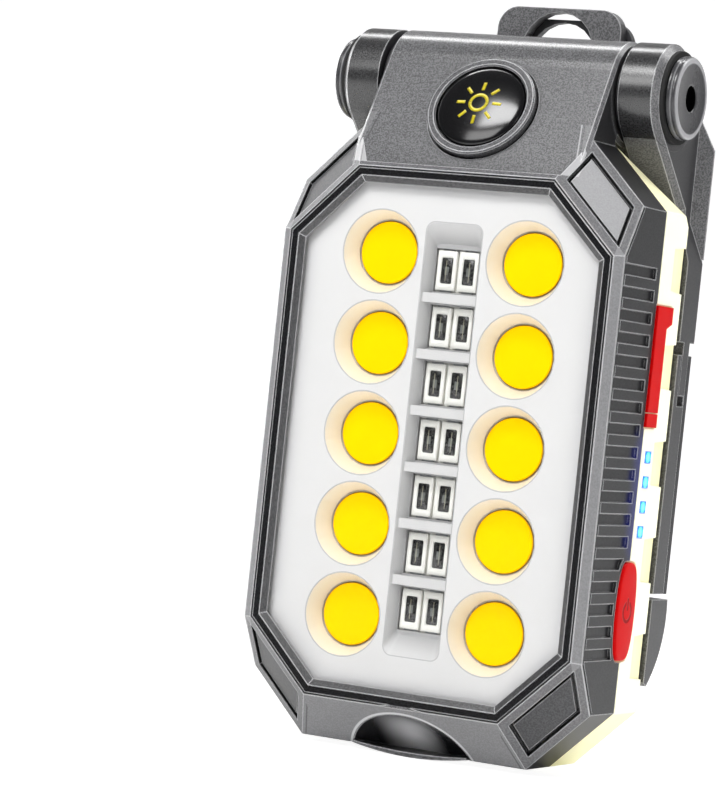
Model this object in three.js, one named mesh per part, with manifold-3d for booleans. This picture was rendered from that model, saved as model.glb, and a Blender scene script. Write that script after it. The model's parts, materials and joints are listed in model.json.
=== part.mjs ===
// Folding work light: a flat octagonal lamp head hinged at its top to a U-shaped stand
// that folds flat behind it, with a swing-out hanging hook on the back of the stand.
//
// Millimetres. X is across the lamp, Y runs from the lit face to the back, Z is up.
// While it is being built, X = 0 is the mid-plane, Y = 0 the front of the bezel and
// Z = 0 the middle row of lights. The exported group moves that to the bottom centre.

import * as THREE from 'three';
import { mergeVertices } from 'three/addons/utils/BufferGeometryUtils.js';
import { ConvexGeometry } from 'three/addons/geometries/ConvexGeometry.js';
import Module from 'manifold-3d';

const wasm = await Module();
wasm.setup();

// ---------------------------------------------------------------- driving dimensions

const head = {
  halfWidth: 27,
  halfHeight: 44.6,
  lowest: 45.4, // bottom of the lip under the scoop
  cornerX: 18, // where the top and bottom edges turn into the corner cuts
  partingY: 13.8, // back edge of the front shell
  rearY: 23.3, // back of the rear casing
  wall: 1.7,
};

const face = {
  halfWidth: 25.6,
  halfHeight: 38.3,
  cornerX: 15.5,
  cornerZ: 28.3,
  facetDepth: 5.6, // how far back the sloping facets run
  stripDepth: 0.95, // how far back the narrow bevel on the long sides runs
};

const bezel = { band: 1.45, bevel: 0.95, bevelDepth: 0.6, lip: 0.9, pocketInset: 1.3, pocketDepth: 6.4 };

const lights = {
  columnX: 11.45,
  pitch: 13.1,
  rows: 5,
  cupRimR: 6,
  cupFloorR: 4.8,
  emitterR: 4.45,
  emitterFront: 4.3,
  emitterThick: 0.5,
  chipRows: 7,
  chipPitch: 8.1,
  chipWidth: 3.05,
  chipHeight: 5.7,
  chipX: 1.72,
};

const reflector = { front: 1.7, plate: 1, back: 4.6, troughHalfWidth: 4.4, troughHalfHeight: 31.1 };
const lens = { front: 0.95, back: 1.6 };
const board = { front: 4.8, back: 6 };

const hinge = {
  y: 17.6,
  z: 52.2,
  barrelR: 7.65,
  barrelHalf: 18.2,
  knuckleFrom: 19.2,
  knuckleTo: 25.2,
  shaftR: 3,
};
const neck = { baseY: 2, baseZ: 38.9 };

const badge = {
  ringR: 8.2,
  ringHole: 6.9,
  domeR: 6.65,
  height: 47.8,
  seatDepth: 1,
  ringProud: 1.2,
  domeProud: 1.9,
};

const ribs = { count: 18, pitch: 3.17, firstTop: 27.5, gap: 1.57, depth: 0.5, frontY: 1.4, rearY: 12.4 };

const button = {
  y: 13.8,
  z: -21.2,
  halfWidth: 3.25,
  halfLength: 7,
  face: 27.4,
  clearance: 0.25,
  fullness: 0.48,
};
const flap = {
  y0: 13.7,
  strip: 3.7,
  tab: 5.5,
  z0: 5.1,
  z1: 22.4,
  tabHeight: 2.4,
  face: 27.35,
  inner: 26.45,
  pivotZ: 7.2,
};
const socket = { y: 15.6, z: 13, halfWidth: 3.75, halfHeight: 1.3 };
const indicators = { y: 16.3, topZ: 0.84, pitch: 3.56, count: 4, halfWidth: 1, halfHeight: 0.8 };

const stand = {
  frontY: 23.6,
  rearY: 29.1,
  bendZ: 45.9,
  elbowY: 24,
  elbowZ: 36.5,
  slopeTop: 35.2, // the outer step slopes in from here ...
  slopeFoot: 29.4, // ... to here
  coverTop: 15.9,
  notchTop: 17.75,
  bottom: -18.8,
  splitY: 27.45,
};
const foot = { top: -19.6, tip: -32.2 };
const magnet = { radius: 7.5, front: 26.4, back: 28.3 };
const hook = {
  front: 29.45,
  back: 31.45,
  gripBack: 32.85,
  pinZ: 16.85,
  pinR: 0.7,
  knuckleR: 1.4,
  eyeZ: 59.3,
  eyeR: 5.8,
  top: 65.7,
};

// ---------------------------------------------------------------- colours and finishes

function finish(colour, roughness, metalness = 0) {
  return new THREE.MeshStandardMaterial({ color: colour, roughness, metalness });
}

const finishes = {
  graphite: finish(0x4a4b4d, 0.5),
  darkPlastic: finish(0x2b2c2e, 0.55),
  cream: finish(0xfbfbdc, 0.45),
  white: finish(0xf2f3f4, 0.35),
  phosphor: finish(0xffe600, 0.5),
  red: finish(0xe8161c, 0.5),
  clear: finish(0xdfe8ee, 0.05),
  blue: finish(0x19b8ff, 0.3),
  glossBlack: finish(0x0c0c0e, 0.08),
  steel: finish(0xb9bcc0, 0.3, 1),
  boardWhite: finish(0xe9ebe6, 0.5),
  boardGreen: finish(0x1e5b3a, 0.5),
  battery: finish(0x2f6fa8, 0.45),
  foam: finish(0x1b1b1b, 0.95),
  blackWire: finish(0x111111, 0.6),
};

// ---------------------------------------------------------------- solids and shapes

function toSolid(geometry) {
  const bare = geometry.clone();
  bare.deleteAttribute('normal');
  bare.deleteAttribute('uv');
  const merged = mergeVertices(bare, 1e-4);
  return new wasm.Manifold(
    new wasm.Mesh({
      numProp: 3,
      vertProperties: new Float32Array(merged.attributes.position.array),
      triVerts: new Uint32Array(merged.index.array),
    }),
  );
}

function toGeometry(solid) {
  const mesh = solid.getMesh();
  const geometry = new THREE.BufferGeometry();
  geometry.setAttribute('position', new THREE.BufferAttribute(mesh.vertProperties, 3));
  geometry.setIndex(new THREE.BufferAttribute(mesh.triVerts, 1));
  geometry.computeVertexNormals();
  return geometry;
}

function join(...solids) {
  return solids.flat().reduce((whole, piece) => whole.add(piece));
}

function cut(solid, ...cutters) {
  return cutters.flat().reduce((left, cutter) => left.subtract(cutter), solid);
}

function polygon(points) {
  return new THREE.Shape(points.map(([a, b]) => new THREE.Vector2(a, b)));
}

function extrude(shape, depth, options = {}) {
  const usual = { depth, steps: 1, bevelEnabled: false, curveSegments: 10 };
  return new THREE.ExtrudeGeometry(shape, { ...usual, ...options });
}

// A shape drawn in (x, z) and extruded from y0 to y1.
function alongY(shape, y0, y1) {
  const turn = new THREE.Matrix4().set(1, 0, 0, 0, 0, 0, -1, y1, 0, 1, 0, 0, 0, 0, 0, 1);
  return toSolid(extrude(shape, y1 - y0).applyMatrix4(turn));
}

// A shape drawn in (y, z) and extruded from x0 to x1.
function alongX(shape, x0, x1, options) {
  const turn = new THREE.Matrix4().set(0, 0, 1, x0, 1, 0, 0, 0, 0, 1, 0, 0, 0, 0, 0, 1);
  return toSolid(extrude(shape, x1 - x0, options).applyMatrix4(turn));
}

// The same, with its end edges cut at 45 degrees.
function chamferedX(shape, x0, x1, chamfer, curveSegments = 24) {
  return alongX(shape, x0 + chamfer, x1, {
    depth: x1 - x0 - 2 * chamfer,
    bevelEnabled: true,
    bevelThickness: chamfer,
    bevelSize: chamfer,
    bevelOffset: -chamfer,
    bevelSegments: 1,
    curveSegments,
  });
}

// A shape drawn in (x, y) and extruded from z0 to z1.
function alongZ(shape, z0, z1) {
  return toSolid(extrude(shape, z1 - z0).translate(0, 0, z0));
}

function block([x0, y0, z0], [x1, y1, z1]) {
  const geometry = new THREE.BoxGeometry(x1 - x0, y1 - y0, z1 - z0);
  return toSolid(geometry.translate((x0 + x1) / 2, (y0 + y1) / 2, (z0 + z1) / 2));
}

function hull(points) {
  return toSolid(new ConvexGeometry(points.map((p) => new THREE.Vector3(...p))));
}

// A solid of revolution about X, from a closed profile of [radius, x] points.
function lathedX(profile, segments, y, z) {
  const points = profile.map(([r, x]) => new THREE.Vector2(r, x));
  const geometry = new THREE.LatheGeometry(points, segments).rotateZ(-Math.PI / 2);
  return toSolid(geometry.translate(0, y, z));
}

function rodX(radius, x0, x1, y, z, segments = 32) {
  const geometry = new THREE.CylinderGeometry(radius, radius, x1 - x0, segments).rotateZ(Math.PI / 2);
  return toSolid(geometry.translate((x0 + x1) / 2, y, z));
}

function rodY(radius, y0, y1, x, z, segments = 24, frontRadius = radius) {
  const geometry = new THREE.CylinderGeometry(radius, frontRadius, y1 - y0, segments);
  return toSolid(geometry.translate(x, (y0 + y1) / 2, z));
}

function circle(radius, a, b) {
  const path = new THREE.Path();
  path.absarc(a, b, radius, 0, 2 * Math.PI, true);
  return path;
}

// Moves every side of a convex outline inward by the same distance.
function inset(points, distance) {
  const lines = points.map(([ax, ay], i) => {
    const [bx, by] = points[(i + 1) % points.length];
    const length = Math.hypot(bx - ax, by - ay);
    const normal = [(ay - by) / length, (bx - ax) / length];
    return { normal, offset: normal[0] * ax + normal[1] * ay + distance };
  });
  return lines.map((line, i) => {
    const before = lines[(i + lines.length - 1) % lines.length];
    const [a, b] = before.normal;
    const [c, d] = line.normal;
    const determinant = a * d - b * c;
    return [
      (before.offset * d - line.offset * b) / determinant,
      (a * line.offset - c * before.offset) / determinant,
    ];
  });
}

function octagon(halfWidth, halfHeight, cornerX, cornerZ) {
  return [
    [cornerX, -halfHeight],
    [halfWidth, -cornerZ],
    [halfWidth, cornerZ],
    [cornerX, halfHeight],
    [-cornerX, halfHeight],
    [-halfWidth, cornerZ],
    [-halfWidth, -cornerZ],
    [-cornerX, -halfHeight],
  ];
}

function atY(points, y) {
  return points.map(([x, z]) => [x, y, z]);
}

function bothSides(make) {
  return [-1, 1].map(make);
}

function fourCorners(make) {
  return [-1, 1].flatMap((sx) => [-1, 1].map((sz) => make(sx, sz)));
}

// The heights of evenly spaced rows, from the top one down, centred on 0.
function rowHeights(count, pitch) {
  return Array.from({ length: count }, (_, i) => ((count - 1) / 2 - i) * pitch);
}

// ---------------------------------------------------------------- outlines of the head

// The corner panel is flat. It passes through two corners of the face and one of the head.
const cornerA = new THREE.Vector3(face.cornerX, 0, face.halfHeight);
const cornerB = new THREE.Vector3(face.halfWidth, 0, face.cornerZ);
const cornerD = new THREE.Vector3(head.cornerX, face.facetDepth, head.halfHeight);
const cornerPlane = new THREE.Plane().setFromCoplanarPoints(cornerA, cornerD, cornerB);

function cornerPanelZ(x, y) {
  const { normal, constant } = cornerPlane;
  return -(constant + normal.x * x + normal.y * y) / normal.z;
}

head.cornerZ = cornerPanelZ(head.halfWidth, face.facetDepth);
face.stripZ = cornerPanelZ(head.halfWidth, face.stripDepth);

const headOutline = octagon(head.halfWidth, head.halfHeight, head.cornerX, head.cornerZ);
const faceOutline = octagon(face.halfWidth, face.halfHeight, face.cornerX, face.cornerZ);
const pocketOutline = inset(faceOutline, bezel.pocketInset);

function buttonOutline(extra) {
  const steps = 32;
  return Array.from({ length: steps }, (_, i) => {
    const angle = (2 * Math.PI * i) / steps;
    const across = Math.sign(Math.sin(angle)) * Math.abs(Math.sin(angle)) ** button.fullness;
    const y = button.y + (button.halfWidth + extra) * across;
    const z = button.z - (button.halfLength + extra) * Math.cos(angle);
    return [y, z];
  });
}

// ---------------------------------------------------------------- front shell

function shellBlank() {
  const strip = fourCorners((sx, sz) => [sx * head.halfWidth, face.stripDepth, sz * face.stripZ]);
  return hull([
    ...atY(faceOutline, 0),
    ...strip,
    ...atY(headOutline, face.facetDepth),
    ...atY(headOutline, head.partingY),
  ]);
}

function windowCut() {
  const outer = inset(faceOutline, bezel.band);
  const inner = inset(faceOutline, bezel.band + bezel.bevel);
  const overshoot = 0.5;
  const before = -overshoot * (bezel.bevelDepth / bezel.bevel);
  const bevel = hull([...atY(inset(outer, -overshoot), before), ...atY(inner, bezel.bevelDepth)]);
  return join(bevel, alongY(polygon(inner), 0, bezel.lip + 0.1));
}

// A thin groove that sets the face's band off from its outer edge.
function bandGroove() {
  const outer = alongY(polygon(inset(faceOutline, 0.12)), -1, 0.35);
  return cut(outer, alongY(polygon(inset(faceOutline, 0.36)), -2, 0.4));
}

function ribCuts(side) {
  const outside = side * (head.halfWidth + 1);
  const floor = side * (head.halfWidth - ribs.depth);
  const [x0, x1] = [Math.min(outside, floor), Math.max(outside, floor)];
  const cuts = Array.from({ length: ribs.count }, (_, i) => {
    const top = ribs.firstTop - i * ribs.pitch;
    return block([x0, ribs.frontY, top - ribs.gap], [x1, ribs.rearY, top]);
  });
  const slot = block([x0, face.stripDepth, -face.stripZ], [x1, face.stripDepth + 0.5, face.stripZ]);
  const all = join(cuts, slot);
  const surround = 0.9;
  return side > 0 ? cut(all, alongX(polygon(buttonOutline(surround)), x0 - 1, x1 + 1)) : all;
}

// The dark seam where a corner panel meets the flat side.
function seamCut(sx, sz) {
  const width = 0.45;
  const depth = 0.4;
  const run = [face.facetDepth - face.stripDepth, head.cornerZ - face.stripZ];
  const length = Math.hypot(...run);
  const across = [(run[1] / length) * width, (-run[0] / length) * width];
  const ends = [
    [face.stripDepth, face.stripZ],
    [face.facetDepth, head.cornerZ],
  ];
  const ring = ends.flatMap(([y, z]) => [
    [y, z],
    [y + across[0], z + across[1]],
  ]);
  return hull(
    ring.flatMap(([y, z]) => [
      [sx * (head.halfWidth - depth), y, sz * z],
      [sx * (head.halfWidth + depth), y, sz * z],
    ]),
  );
}

// The outline of a corner facet, moved inward by a border, as a slab between two depths.
function cornerSlab(sx, sz, border, deep, shallow) {
  const u = cornerB.clone().sub(cornerA).normalize();
  const n = cornerPlane.normal.clone();
  if (n.y > 0) n.negate();
  const v = u.clone().cross(n);
  const corner = (x, y) => new THREE.Vector3(x, y, cornerPanelZ(x, y));
  const sideLow = corner(head.halfWidth, face.stripDepth - 0.9);
  const sideHigh = corner(head.halfWidth, face.facetDepth);
  const flat = [cornerA, sideLow, sideHigh, cornerD].map((p) => {
    const d = p.clone().sub(cornerA);
    return [d.dot(u), d.dot(v)];
  });
  const turnsLeft = flat.reduce((sum, [a, b], i) => {
    const [c, d] = flat[(i + 1) % flat.length];
    return sum + a * d - b * c;
  }, 0);
  const outline = inset(turnsLeft > 0 ? flat : flat.reverse(), border);
  const at = (a, b, h) => cornerA.clone().addScaledVector(u, a).addScaledVector(v, b).addScaledVector(n, h);
  const points = outline.flatMap(([a, b]) => [-deep, -shallow].map((h) => at(a, b, h)));
  return hull(points.map((p) => [sx * p.x, p.y, sz * p.z]));
}

// A panel sunk into a corner facet, with a deeper groove round it.
function cornerPocket(sx, sz) {
  const border = 1.3;
  const groove = 0.55;
  const grooveDepth = 0.9;
  const panelDepth = 0.3;
  const sunk = cornerSlab(sx, sz, border, grooveDepth, -1);
  return cut(sunk, cornerSlab(sx, sz, border + groove, 1, panelDepth));
}

function tangentPoint([py, pz], side) {
  const dy = hinge.y - py;
  const dz = hinge.z - pz;
  const distance = Math.hypot(dy, dz);
  const angle = Math.atan2(dz, dy) + side * Math.asin(hinge.barrelR / distance);
  const reach = Math.sqrt(distance ** 2 - hinge.barrelR ** 2);
  return [py + reach * Math.cos(angle), pz + reach * Math.sin(angle)];
}

const neckTangent = tangentPoint([neck.baseY, neck.baseZ], 1);
const neckSlope = Math.atan2(neckTangent[1] - neck.baseZ, neckTangent[0] - neck.baseY);

function neckBlank() {
  const rear = head.partingY - 0.1;
  const profile = polygon([
    [neck.baseY, 38],
    [6.5, 38],
    [6.5, 43],
    [rear, 43],
    [rear, 45],
    [hinge.y, hinge.z],
    neckTangent,
    [neck.baseY, neck.baseZ],
  ]);
  const chamfer = 0.5;
  const { barrelR: r, barrelHalf: half } = hinge;
  const outline = [
    [0, -half],
    [r - chamfer, -half],
    [r, chamfer - half],
    [r, half - chamfer],
    [r - chamfer, half],
    [0, half],
  ];
  const barrel = lathedX(outline, 64, hinge.y, hinge.z);
  return join(chamferedX(profile, -half, half, chamfer), barrel);
}

// The facet above the bezel is cut back to the neck's own slope, between two slanting cheeks.
function neckRecess() {
  const crossing = 43.2;
  const neckY = (z) => neck.baseY + (z - neck.baseZ) / Math.tan(neckSlope);
  return hull(
    bothSides((s) => [
      [s * 16.4, -0.5, neck.baseZ],
      [s * 17.9, -0.5, crossing],
      [s * 15.4, neck.baseY, neck.baseZ],
      [s * 17.8, neckY(crossing), crossing],
    ]).flat(),
  );
}

// A round scoop in the middle of the bottom facet, with a curved lip under it.
const scoop = { radius: 17.7, y: -3.6, z: -56.4, lining: 1.2, lipHalf: 9, lipFront: 4.5, lipBack: 10.6 };

function ball(radius) {
  const geometry = new THREE.SphereGeometry(radius, 64, 48).rotateX(Math.PI / 2);
  return toSolid(geometry.translate(0, scoop.y, scoop.z));
}

function scoopLip() {
  const shape = new THREE.Shape();
  const half = scoop.lipHalf;
  const ends = 0.4 - head.halfHeight;
  shape.moveTo(-half, ends);
  shape.quadraticCurveTo(0, ends - 1, half, ends);
  shape.lineTo(half + 0.2, ends - 0.3);
  shape.quadraticCurveTo(0, -2 * head.lowest - ends + 0.3, -half - 0.2, ends - 0.3);
  return alongY(shape, scoop.lipFront, scoop.lipBack);
}

// A solid of revolution standing on the neck's sloping face, round the badge's centre.
function onNeckLathed(profile, segments) {
  const points = profile.map(([r, h]) => new THREE.Vector2(r, h));
  const lathe = new THREE.LatheGeometry(points, segments).rotateX(Math.PI / 2);
  const y = neck.baseY + (badge.height - neck.baseZ) / Math.tan(neckSlope);
  return toSolid(lathe.rotateX(neckSlope).translate(0, y, badge.height));
}

function badgeSeat() {
  const radius = badge.ringR + 0.25;
  const profile = [
    [0, -badge.seatDepth],
    [radius, -badge.seatDepth],
    [radius, 4],
    [0, 4],
  ];
  return onNeckLathed(profile, 64);
}

const screwSpots = [-33, 29.5].flatMap((z) => bothSides((s) => [s * 22.4, z]));

function screwBlocks() {
  return screwSpots.map(([x, z]) => {
    const [x0, x1] = x > 0 ? [19.8, 25.4] : [-25.4, -19.8];
    return block([x0, bezel.pocketDepth + 0.2, z - 2.6], [x1, head.partingY, z + 2.6]);
  });
}

function frontShell() {
  const blank = shellBlank();
  const cavity = alongY(polygon(inset(headOutline, head.wall)), bezel.pocketDepth, head.partingY + 1);
  const pocket = alongY(polygon(pocketOutline), bezel.lip, bezel.pocketDepth + 0.1);
  const hollow = cut(blank, windowCut(), bandGroove(), pocket, cavity, neckRecess());
  const lining = ball(scoop.radius + scoop.lining).intersect(blank);
  const lined = join(hollow, lining, neckBlank(), screwBlocks());
  return cut(
    join(cut(lined, ball(scoop.radius)), scoopLip()),
    rodX(hinge.shaftR + 0.1, -30, 30, hinge.y, hinge.z, 48),
    badgeSeat(),
    bothSides(ribCuts),
    fourCorners(seamCut),
    fourCorners(cornerPocket),
    alongX(polygon(buttonOutline(button.clearance)), 20, 30),
    alongX(polygon(flapOutline(0.15)), flap.inner - 0.1, 30),
    screwSpots.map(([x, z]) => rodY(0.95, 8, head.partingY + 1, x, z, 16)),
  );
}

// ---------------------------------------------------------------- rear casing

// The top of the casing slopes away so that the stand's arms can pass behind it.
const relief = { from: [head.partingY + 0.1, head.halfHeight - 0.4], to: [head.rearY, 33] };

function reliefCut(inward) {
  const [y0, z0] = relief.from;
  const [y1, z1] = relief.to;
  const length = Math.hypot(y1 - y0, z1 - z0);
  const shift = [(-(z0 - z1) / length) * inward, (-(y1 - y0) / length) * inward];
  const slope = (z1 - z0) / (y1 - y0);
  const along = (y) => z0 + shift[1] + slope * (y - y0 - shift[0]);
  const near = y0 - 3;
  const far = 40;
  const above = 70;
  const profile = polygon([
    [near, along(near)],
    [far, along(far)],
    [far, above],
    [near, above],
  ]);
  return alongX(profile, -far, far);
}

const gripRecess = {
  count: 5,
  pitch: 13.9,
  frontY: 18.2,
  shallow: 0.3,
  deep: 0.65,
  halfFront: 3,
  halfRear: 3.4,
};

function gripCut(side, z) {
  const g = gripRecess;
  const rear = head.rearY + 0.3;
  const w = head.halfWidth;
  return hull(
    [-1, 1].flatMap((s) => [
      [side * (w - g.shallow), g.frontY, z + s * g.halfFront],
      [side * (w + 1), g.frontY, z + s * g.halfFront],
      [side * (w - g.deep), rear, z + s * g.halfRear],
      [side * (w + 1), rear, z + s * g.halfRear],
    ]),
  );
}

function gripCuts() {
  const rows = rowHeights(gripRecess.count, gripRecess.pitch);
  return bothSides((side) => rows.map((z) => gripCut(side, z))).flat();
}

function flapOutline(extra) {
  const { y0, strip, tab, z0, z1, tabHeight } = flap;
  const shoulder = z1 - tabHeight;
  return [
    [y0 - extra, z0 - extra],
    [y0 + strip + extra, z0 - extra],
    [y0 + strip + extra, shoulder - 0.4 * (tab - strip) - extra / 2],
    [y0 + tab + extra, shoulder - extra / 2],
    [y0 + tab + extra, z1 + extra],
    [y0 - extra, z1 + extra],
  ];
}

function indicatorRows() {
  return Array.from({ length: indicators.count }, (_, i) => indicators.topZ - i * indicators.pitch);
}

function indicatorHole(z) {
  const { y, halfWidth, halfHeight } = indicators;
  const w = halfWidth + 0.1;
  const h = halfHeight + 0.1;
  return block([20, y - w, z - h], [30, y + w, z + h]);
}

function rearCasing() {
  const chamfer = 1;
  const front = head.partingY + 0.1;
  const floor = head.rearY - 1.6;
  const blank = hull([
    ...atY(headOutline, front),
    ...atY(headOutline, head.rearY - chamfer),
    ...atY(inset(headOutline, chamfer), head.rearY),
  ]);
  const inside = cut(alongY(polygon(inset(headOutline, 1.6)), front - 1, floor), reliefCut(1.7));
  const posts = screwSpots.map(([x, z]) => rodY(3.2, front, floor + 0.5, x, z, 32).intersect(blank));
  return cut(
    join(cut(blank, reliefCut(0), inside), posts),
    screwSpots.map(([x, z]) => rodY(1.25, 13, 25, x, z, 20)),
    screwSpots.map(([x, z]) => rodY(2.3, floor + 0.2, 25, x, z, 28)),
    gripCuts(),
    alongX(polygon(flapOutline(0.15)), flap.inner - 0.1, 30),
    block([20, socket.y - 1.55, socket.z - 4.1], [30, socket.y + 1.55, socket.z + 4.1]),
    indicatorRows().map(indicatorHole),
    alongX(polygon(buttonOutline(button.clearance)), 20, 30),
  );
}

// ---------------------------------------------------------------- optics

const lightZs = rowHeights(lights.rows, lights.pitch);
const cupSpots = lightZs.flatMap((z) => bothSides((s) => [s * lights.columnX, z]));
const chipZs = rowHeights(lights.chipRows, lights.chipPitch);

function frontLens() {
  return alongY(polygon(inset(pocketOutline, 0.1)), lens.front, lens.back);
}

function cupInside([x, z]) {
  const { front, back } = reflector;
  const slope = (lights.cupRimR - lights.cupFloorR) / (back - front);
  return rodY(lights.cupFloorR - slope, front - 1, back + 1, x, z, 24, lights.cupRimR + slope);
}

function cupOutside([x, z]) {
  const wall = 0.7;
  const { front, back } = reflector;
  return rodY(lights.cupFloorR + wall, front, back, x, z, 16, lights.cupRimR + wall);
}

// A rectangle with rounded corners, centred on the face.
function roundedRectangle(halfWidth, halfHeight, radius) {
  const steps = 4;
  return fourCorners((sx, sz) =>
    Array.from({ length: steps + 1 }, (_, i) => {
      const angle = (Math.PI / 2) * (i / steps);
      const x = halfWidth - radius * (1 - Math.cos(angle));
      const z = halfHeight - radius * (1 - Math.sin(angle));
      return [sx * x, sz * z];
    }),
  ).flat();
}

function trough() {
  const { front, back, troughHalfWidth: w, troughHalfHeight: h } = reflector;
  const mouth = roundedRectangle(w + 0.2, h + 0.6, 1.4);
  const floor = roundedRectangle(w - 0.8, h - 3, 0.8);
  return hull([...atY(mouth, front - 0.5), ...atY(floor, back - 0.9)]);
}

function chipWell(z) {
  return block([-3.5, reflector.front + 0.3, z - 3.1], [3.5, reflector.back + 1, z + 3.1]);
}

// A low bar across the trough, above one row of chips.
function troughBar(z) {
  const { front, back, troughHalfWidth: w } = reflector;
  const middle = z + lights.chipPitch / 2;
  return block([-w, front + 0.4, middle - 0.7], [w, back, middle + 0.7]);
}

function reflectorPanel() {
  const { front, plate, back, troughHalfWidth: w, troughHalfHeight: h } = reflector;
  const sheet = alongY(polygon(inset(pocketOutline, 0.15)), front, front + plate);
  const troughOutside = block([-w - 0.4, front, -h - 0.4], [w + 0.4, back, h + 0.4]);
  const blank = join(sheet, cupSpots.map(cupOutside), troughOutside);
  const shaped = cut(blank, cupSpots.map(cupInside), trough());
  const stripSeat = block([-3.7, back - 0.3, -28.4], [3.7, back + 1, 28.4]);
  return cut(join(shaped, chipZs.slice(1).map(troughBar)), chipZs.map(chipWell), stripSeat);
}

function ledBoard() {
  return alongY(polygon(inset(pocketOutline, 0.4)), board.front, board.back);
}

function cobEmitter([x, z]) {
  return rodY(lights.emitterR, lights.emitterFront, lights.emitterFront + lights.emitterThick, x, z, 24);
}

function warningLedStrip() {
  const stripBoard = block([-3.4, 4.45, -28], [3.4, 4.78, 28]);
  const chips = chipZs.flatMap((z) =>
    bothSides((s) => {
      const x = s * lights.chipX;
      const halfWidth = lights.chipWidth / 2;
      const halfHeight = lights.chipHeight / 2;
      return block([x - halfWidth, 3.8, z - halfHeight], [x + halfWidth, 4.5, z + halfHeight]);
    }),
  );
  return join(stripBoard, chips);
}

// ---------------------------------------------------------------- electronics in the head

function batteryTray() {
  return cut(block([-23, 6.6, -26.5], [13.2, 9.3, 26.5]), block([-22, 7.6, -25.6], [12.2, 12, 25.6]));
}

function batteryCell() {
  const halfThick = 5;
  const shape = new THREE.Shape();
  shape.absarc(-17.3, 12.6, halfThick - 0.3, Math.PI / 2, (3 * Math.PI) / 2, false);
  shape.absarc(7.5, 12.6, halfThick - 0.3, (3 * Math.PI) / 2, (5 * Math.PI) / 2, false);
  return alongZ(shape, -25, 25);
}

function batteryPad() {
  return block([-16, 17.5, -20], [6, 21.5, 20]);
}

function controlBoard() {
  const plate = block([14, 13.1, -25.5], [23.3, 14.1, 25]);
  const parts = [
    block([15.5, 14, 17], [19, 15.4, 22]),
    block([15.5, 14, 1.5], [20, 15.2, 6.5]),
    block([15.2, 14, -8], [17.4, 14.9, -4]),
    block([15.2, 12.1, -22], [20, 13.2, -14]),
    block([16, 14, -14], [17.2, 14.7, -11.6]),
  ];
  return join(plate, parts);
}

function chargeSocket() {
  const { y, z, halfWidth: w, halfHeight: h } = socket;
  const shape = polygon([
    [y - h, z - w],
    [y + h - 0.7, z - w],
    [y + h, z - w + 0.7],
    [y + h, z + w - 0.7],
    [y + h - 0.7, z + w],
    [y - h, z + w],
  ]);
  const mouth = block([20.4, y - h + 0.4, z - w + 0.5], [26, y + h - 0.4, z + w - 0.5]);
  return cut(alongX(shape, 19.4, 25), mouth);
}

function tactileSwitch() {
  return join(
    block([19.4, 14.15, button.z - 3], [22.2, 17.4, button.z + 3]),
    block([22.1, 14.9, button.z - 1.2], [22.9, 16.5, button.z + 1.2]),
  );
}

function indicatorGuide() {
  const { y, halfWidth: w, halfHeight: h } = indicators;
  const rows = indicatorRows();
  const bar = block([24.2, y - 1.4, rows.at(-1) - 1.4], [25.2, y + 1.4, rows[0] + 1.4]);
  return join(bar, rows.map((z) => block([25.1, y - w, z - h], [head.halfWidth + 0.05, y + w, z + h])));
}

function powerButton() {
  const cap = alongX(polygon(buttonOutline(0)), 24.9, button.face);
  const flange = alongX(polygon(buttonOutline(0.9)), 24.1, 24.95);
  const stem = block([23.55, 14.8, button.z - 1.5], [24.2, 16.6, button.z + 1.5]);
  return join(cap, flange, stem);
}

function flapBody() {
  const strip = alongX(polygon(flapOutline(0)), flap.inner, flap.face);
  const { y, z } = socket;
  const plug = block([25.9, y - 1.15, z - 3.5], [flap.inner + 0.1, y + 1.15, z + 3.5]);
  return join(strip, plug);
}

function portFlap() {
  return cut(flapBody(), block([20, 10, 0], [30, 25, flap.pivotZ]));
}

function flapRoot() {
  const gap = 0.15;
  return cut(flapBody(), block([20, 10, flap.pivotZ - gap], [30, 25, 30]));
}

function lead(points) {
  const path = new THREE.CatmullRomCurve3(points.map((p) => new THREE.Vector3(...p)));
  const section = new THREE.Shape();
  section.absarc(0, 0, 0.55, 0, 2 * Math.PI, false);
  const options = { extrudePath: path, steps: 16, curveSegments: 4, bevelEnabled: false };
  return toSolid(new THREE.ExtrudeGeometry(section, options));
}

function redLead() {
  return lead([
    [3, 14.5, 25.1],
    [4, 14.8, 28],
    [9, 15.2, 30],
    [13.5, 15.6, 27],
    [14.6, 15.8, 23.5],
    [14.7, 14.75, 21],
  ]);
}

function blackLead() {
  return lead([
    [-1, 14.5, 25.1],
    [0, 14.9, 30],
    [7, 16.4, 33],
    [14.2, 17.3, 30],
    [17, 17.2, 26],
    [17.3, 16.1, 21.5],
  ]);
}

// ---------------------------------------------------------------- badge

function badgeRing() {
  const { ringR: outer, ringHole: inner, ringProud: top } = badge;
  const bottom = 0.3 - badge.seatDepth;
  const chamfer = 0.25;
  const profile = [
    [inner, bottom],
    [outer, bottom],
    [outer, top - chamfer],
    [outer - chamfer, top],
    [inner + chamfer, top],
    [inner, top - chamfer],
    [inner, bottom],
  ];
  return onNeckLathed(profile, 48);
}

function badgeDome() {
  const bottom = 0.3 - badge.seatDepth;
  const shoulder = 0.7;
  const rise = badge.domeProud - shoulder;
  const steps = 4;
  const arc = Array.from({ length: steps + 1 }, (_, i) => {
    const angle = (Math.PI / 2) * (i / steps);
    return [badge.domeR * Math.cos(angle), shoulder + rise * Math.sin(angle)];
  });
  arc[steps][0] = 0;
  return onNeckLathed([[0, bottom], [badge.domeR, bottom], ...arc], 48);
}

// ---------------------------------------------------------------- screws

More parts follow.
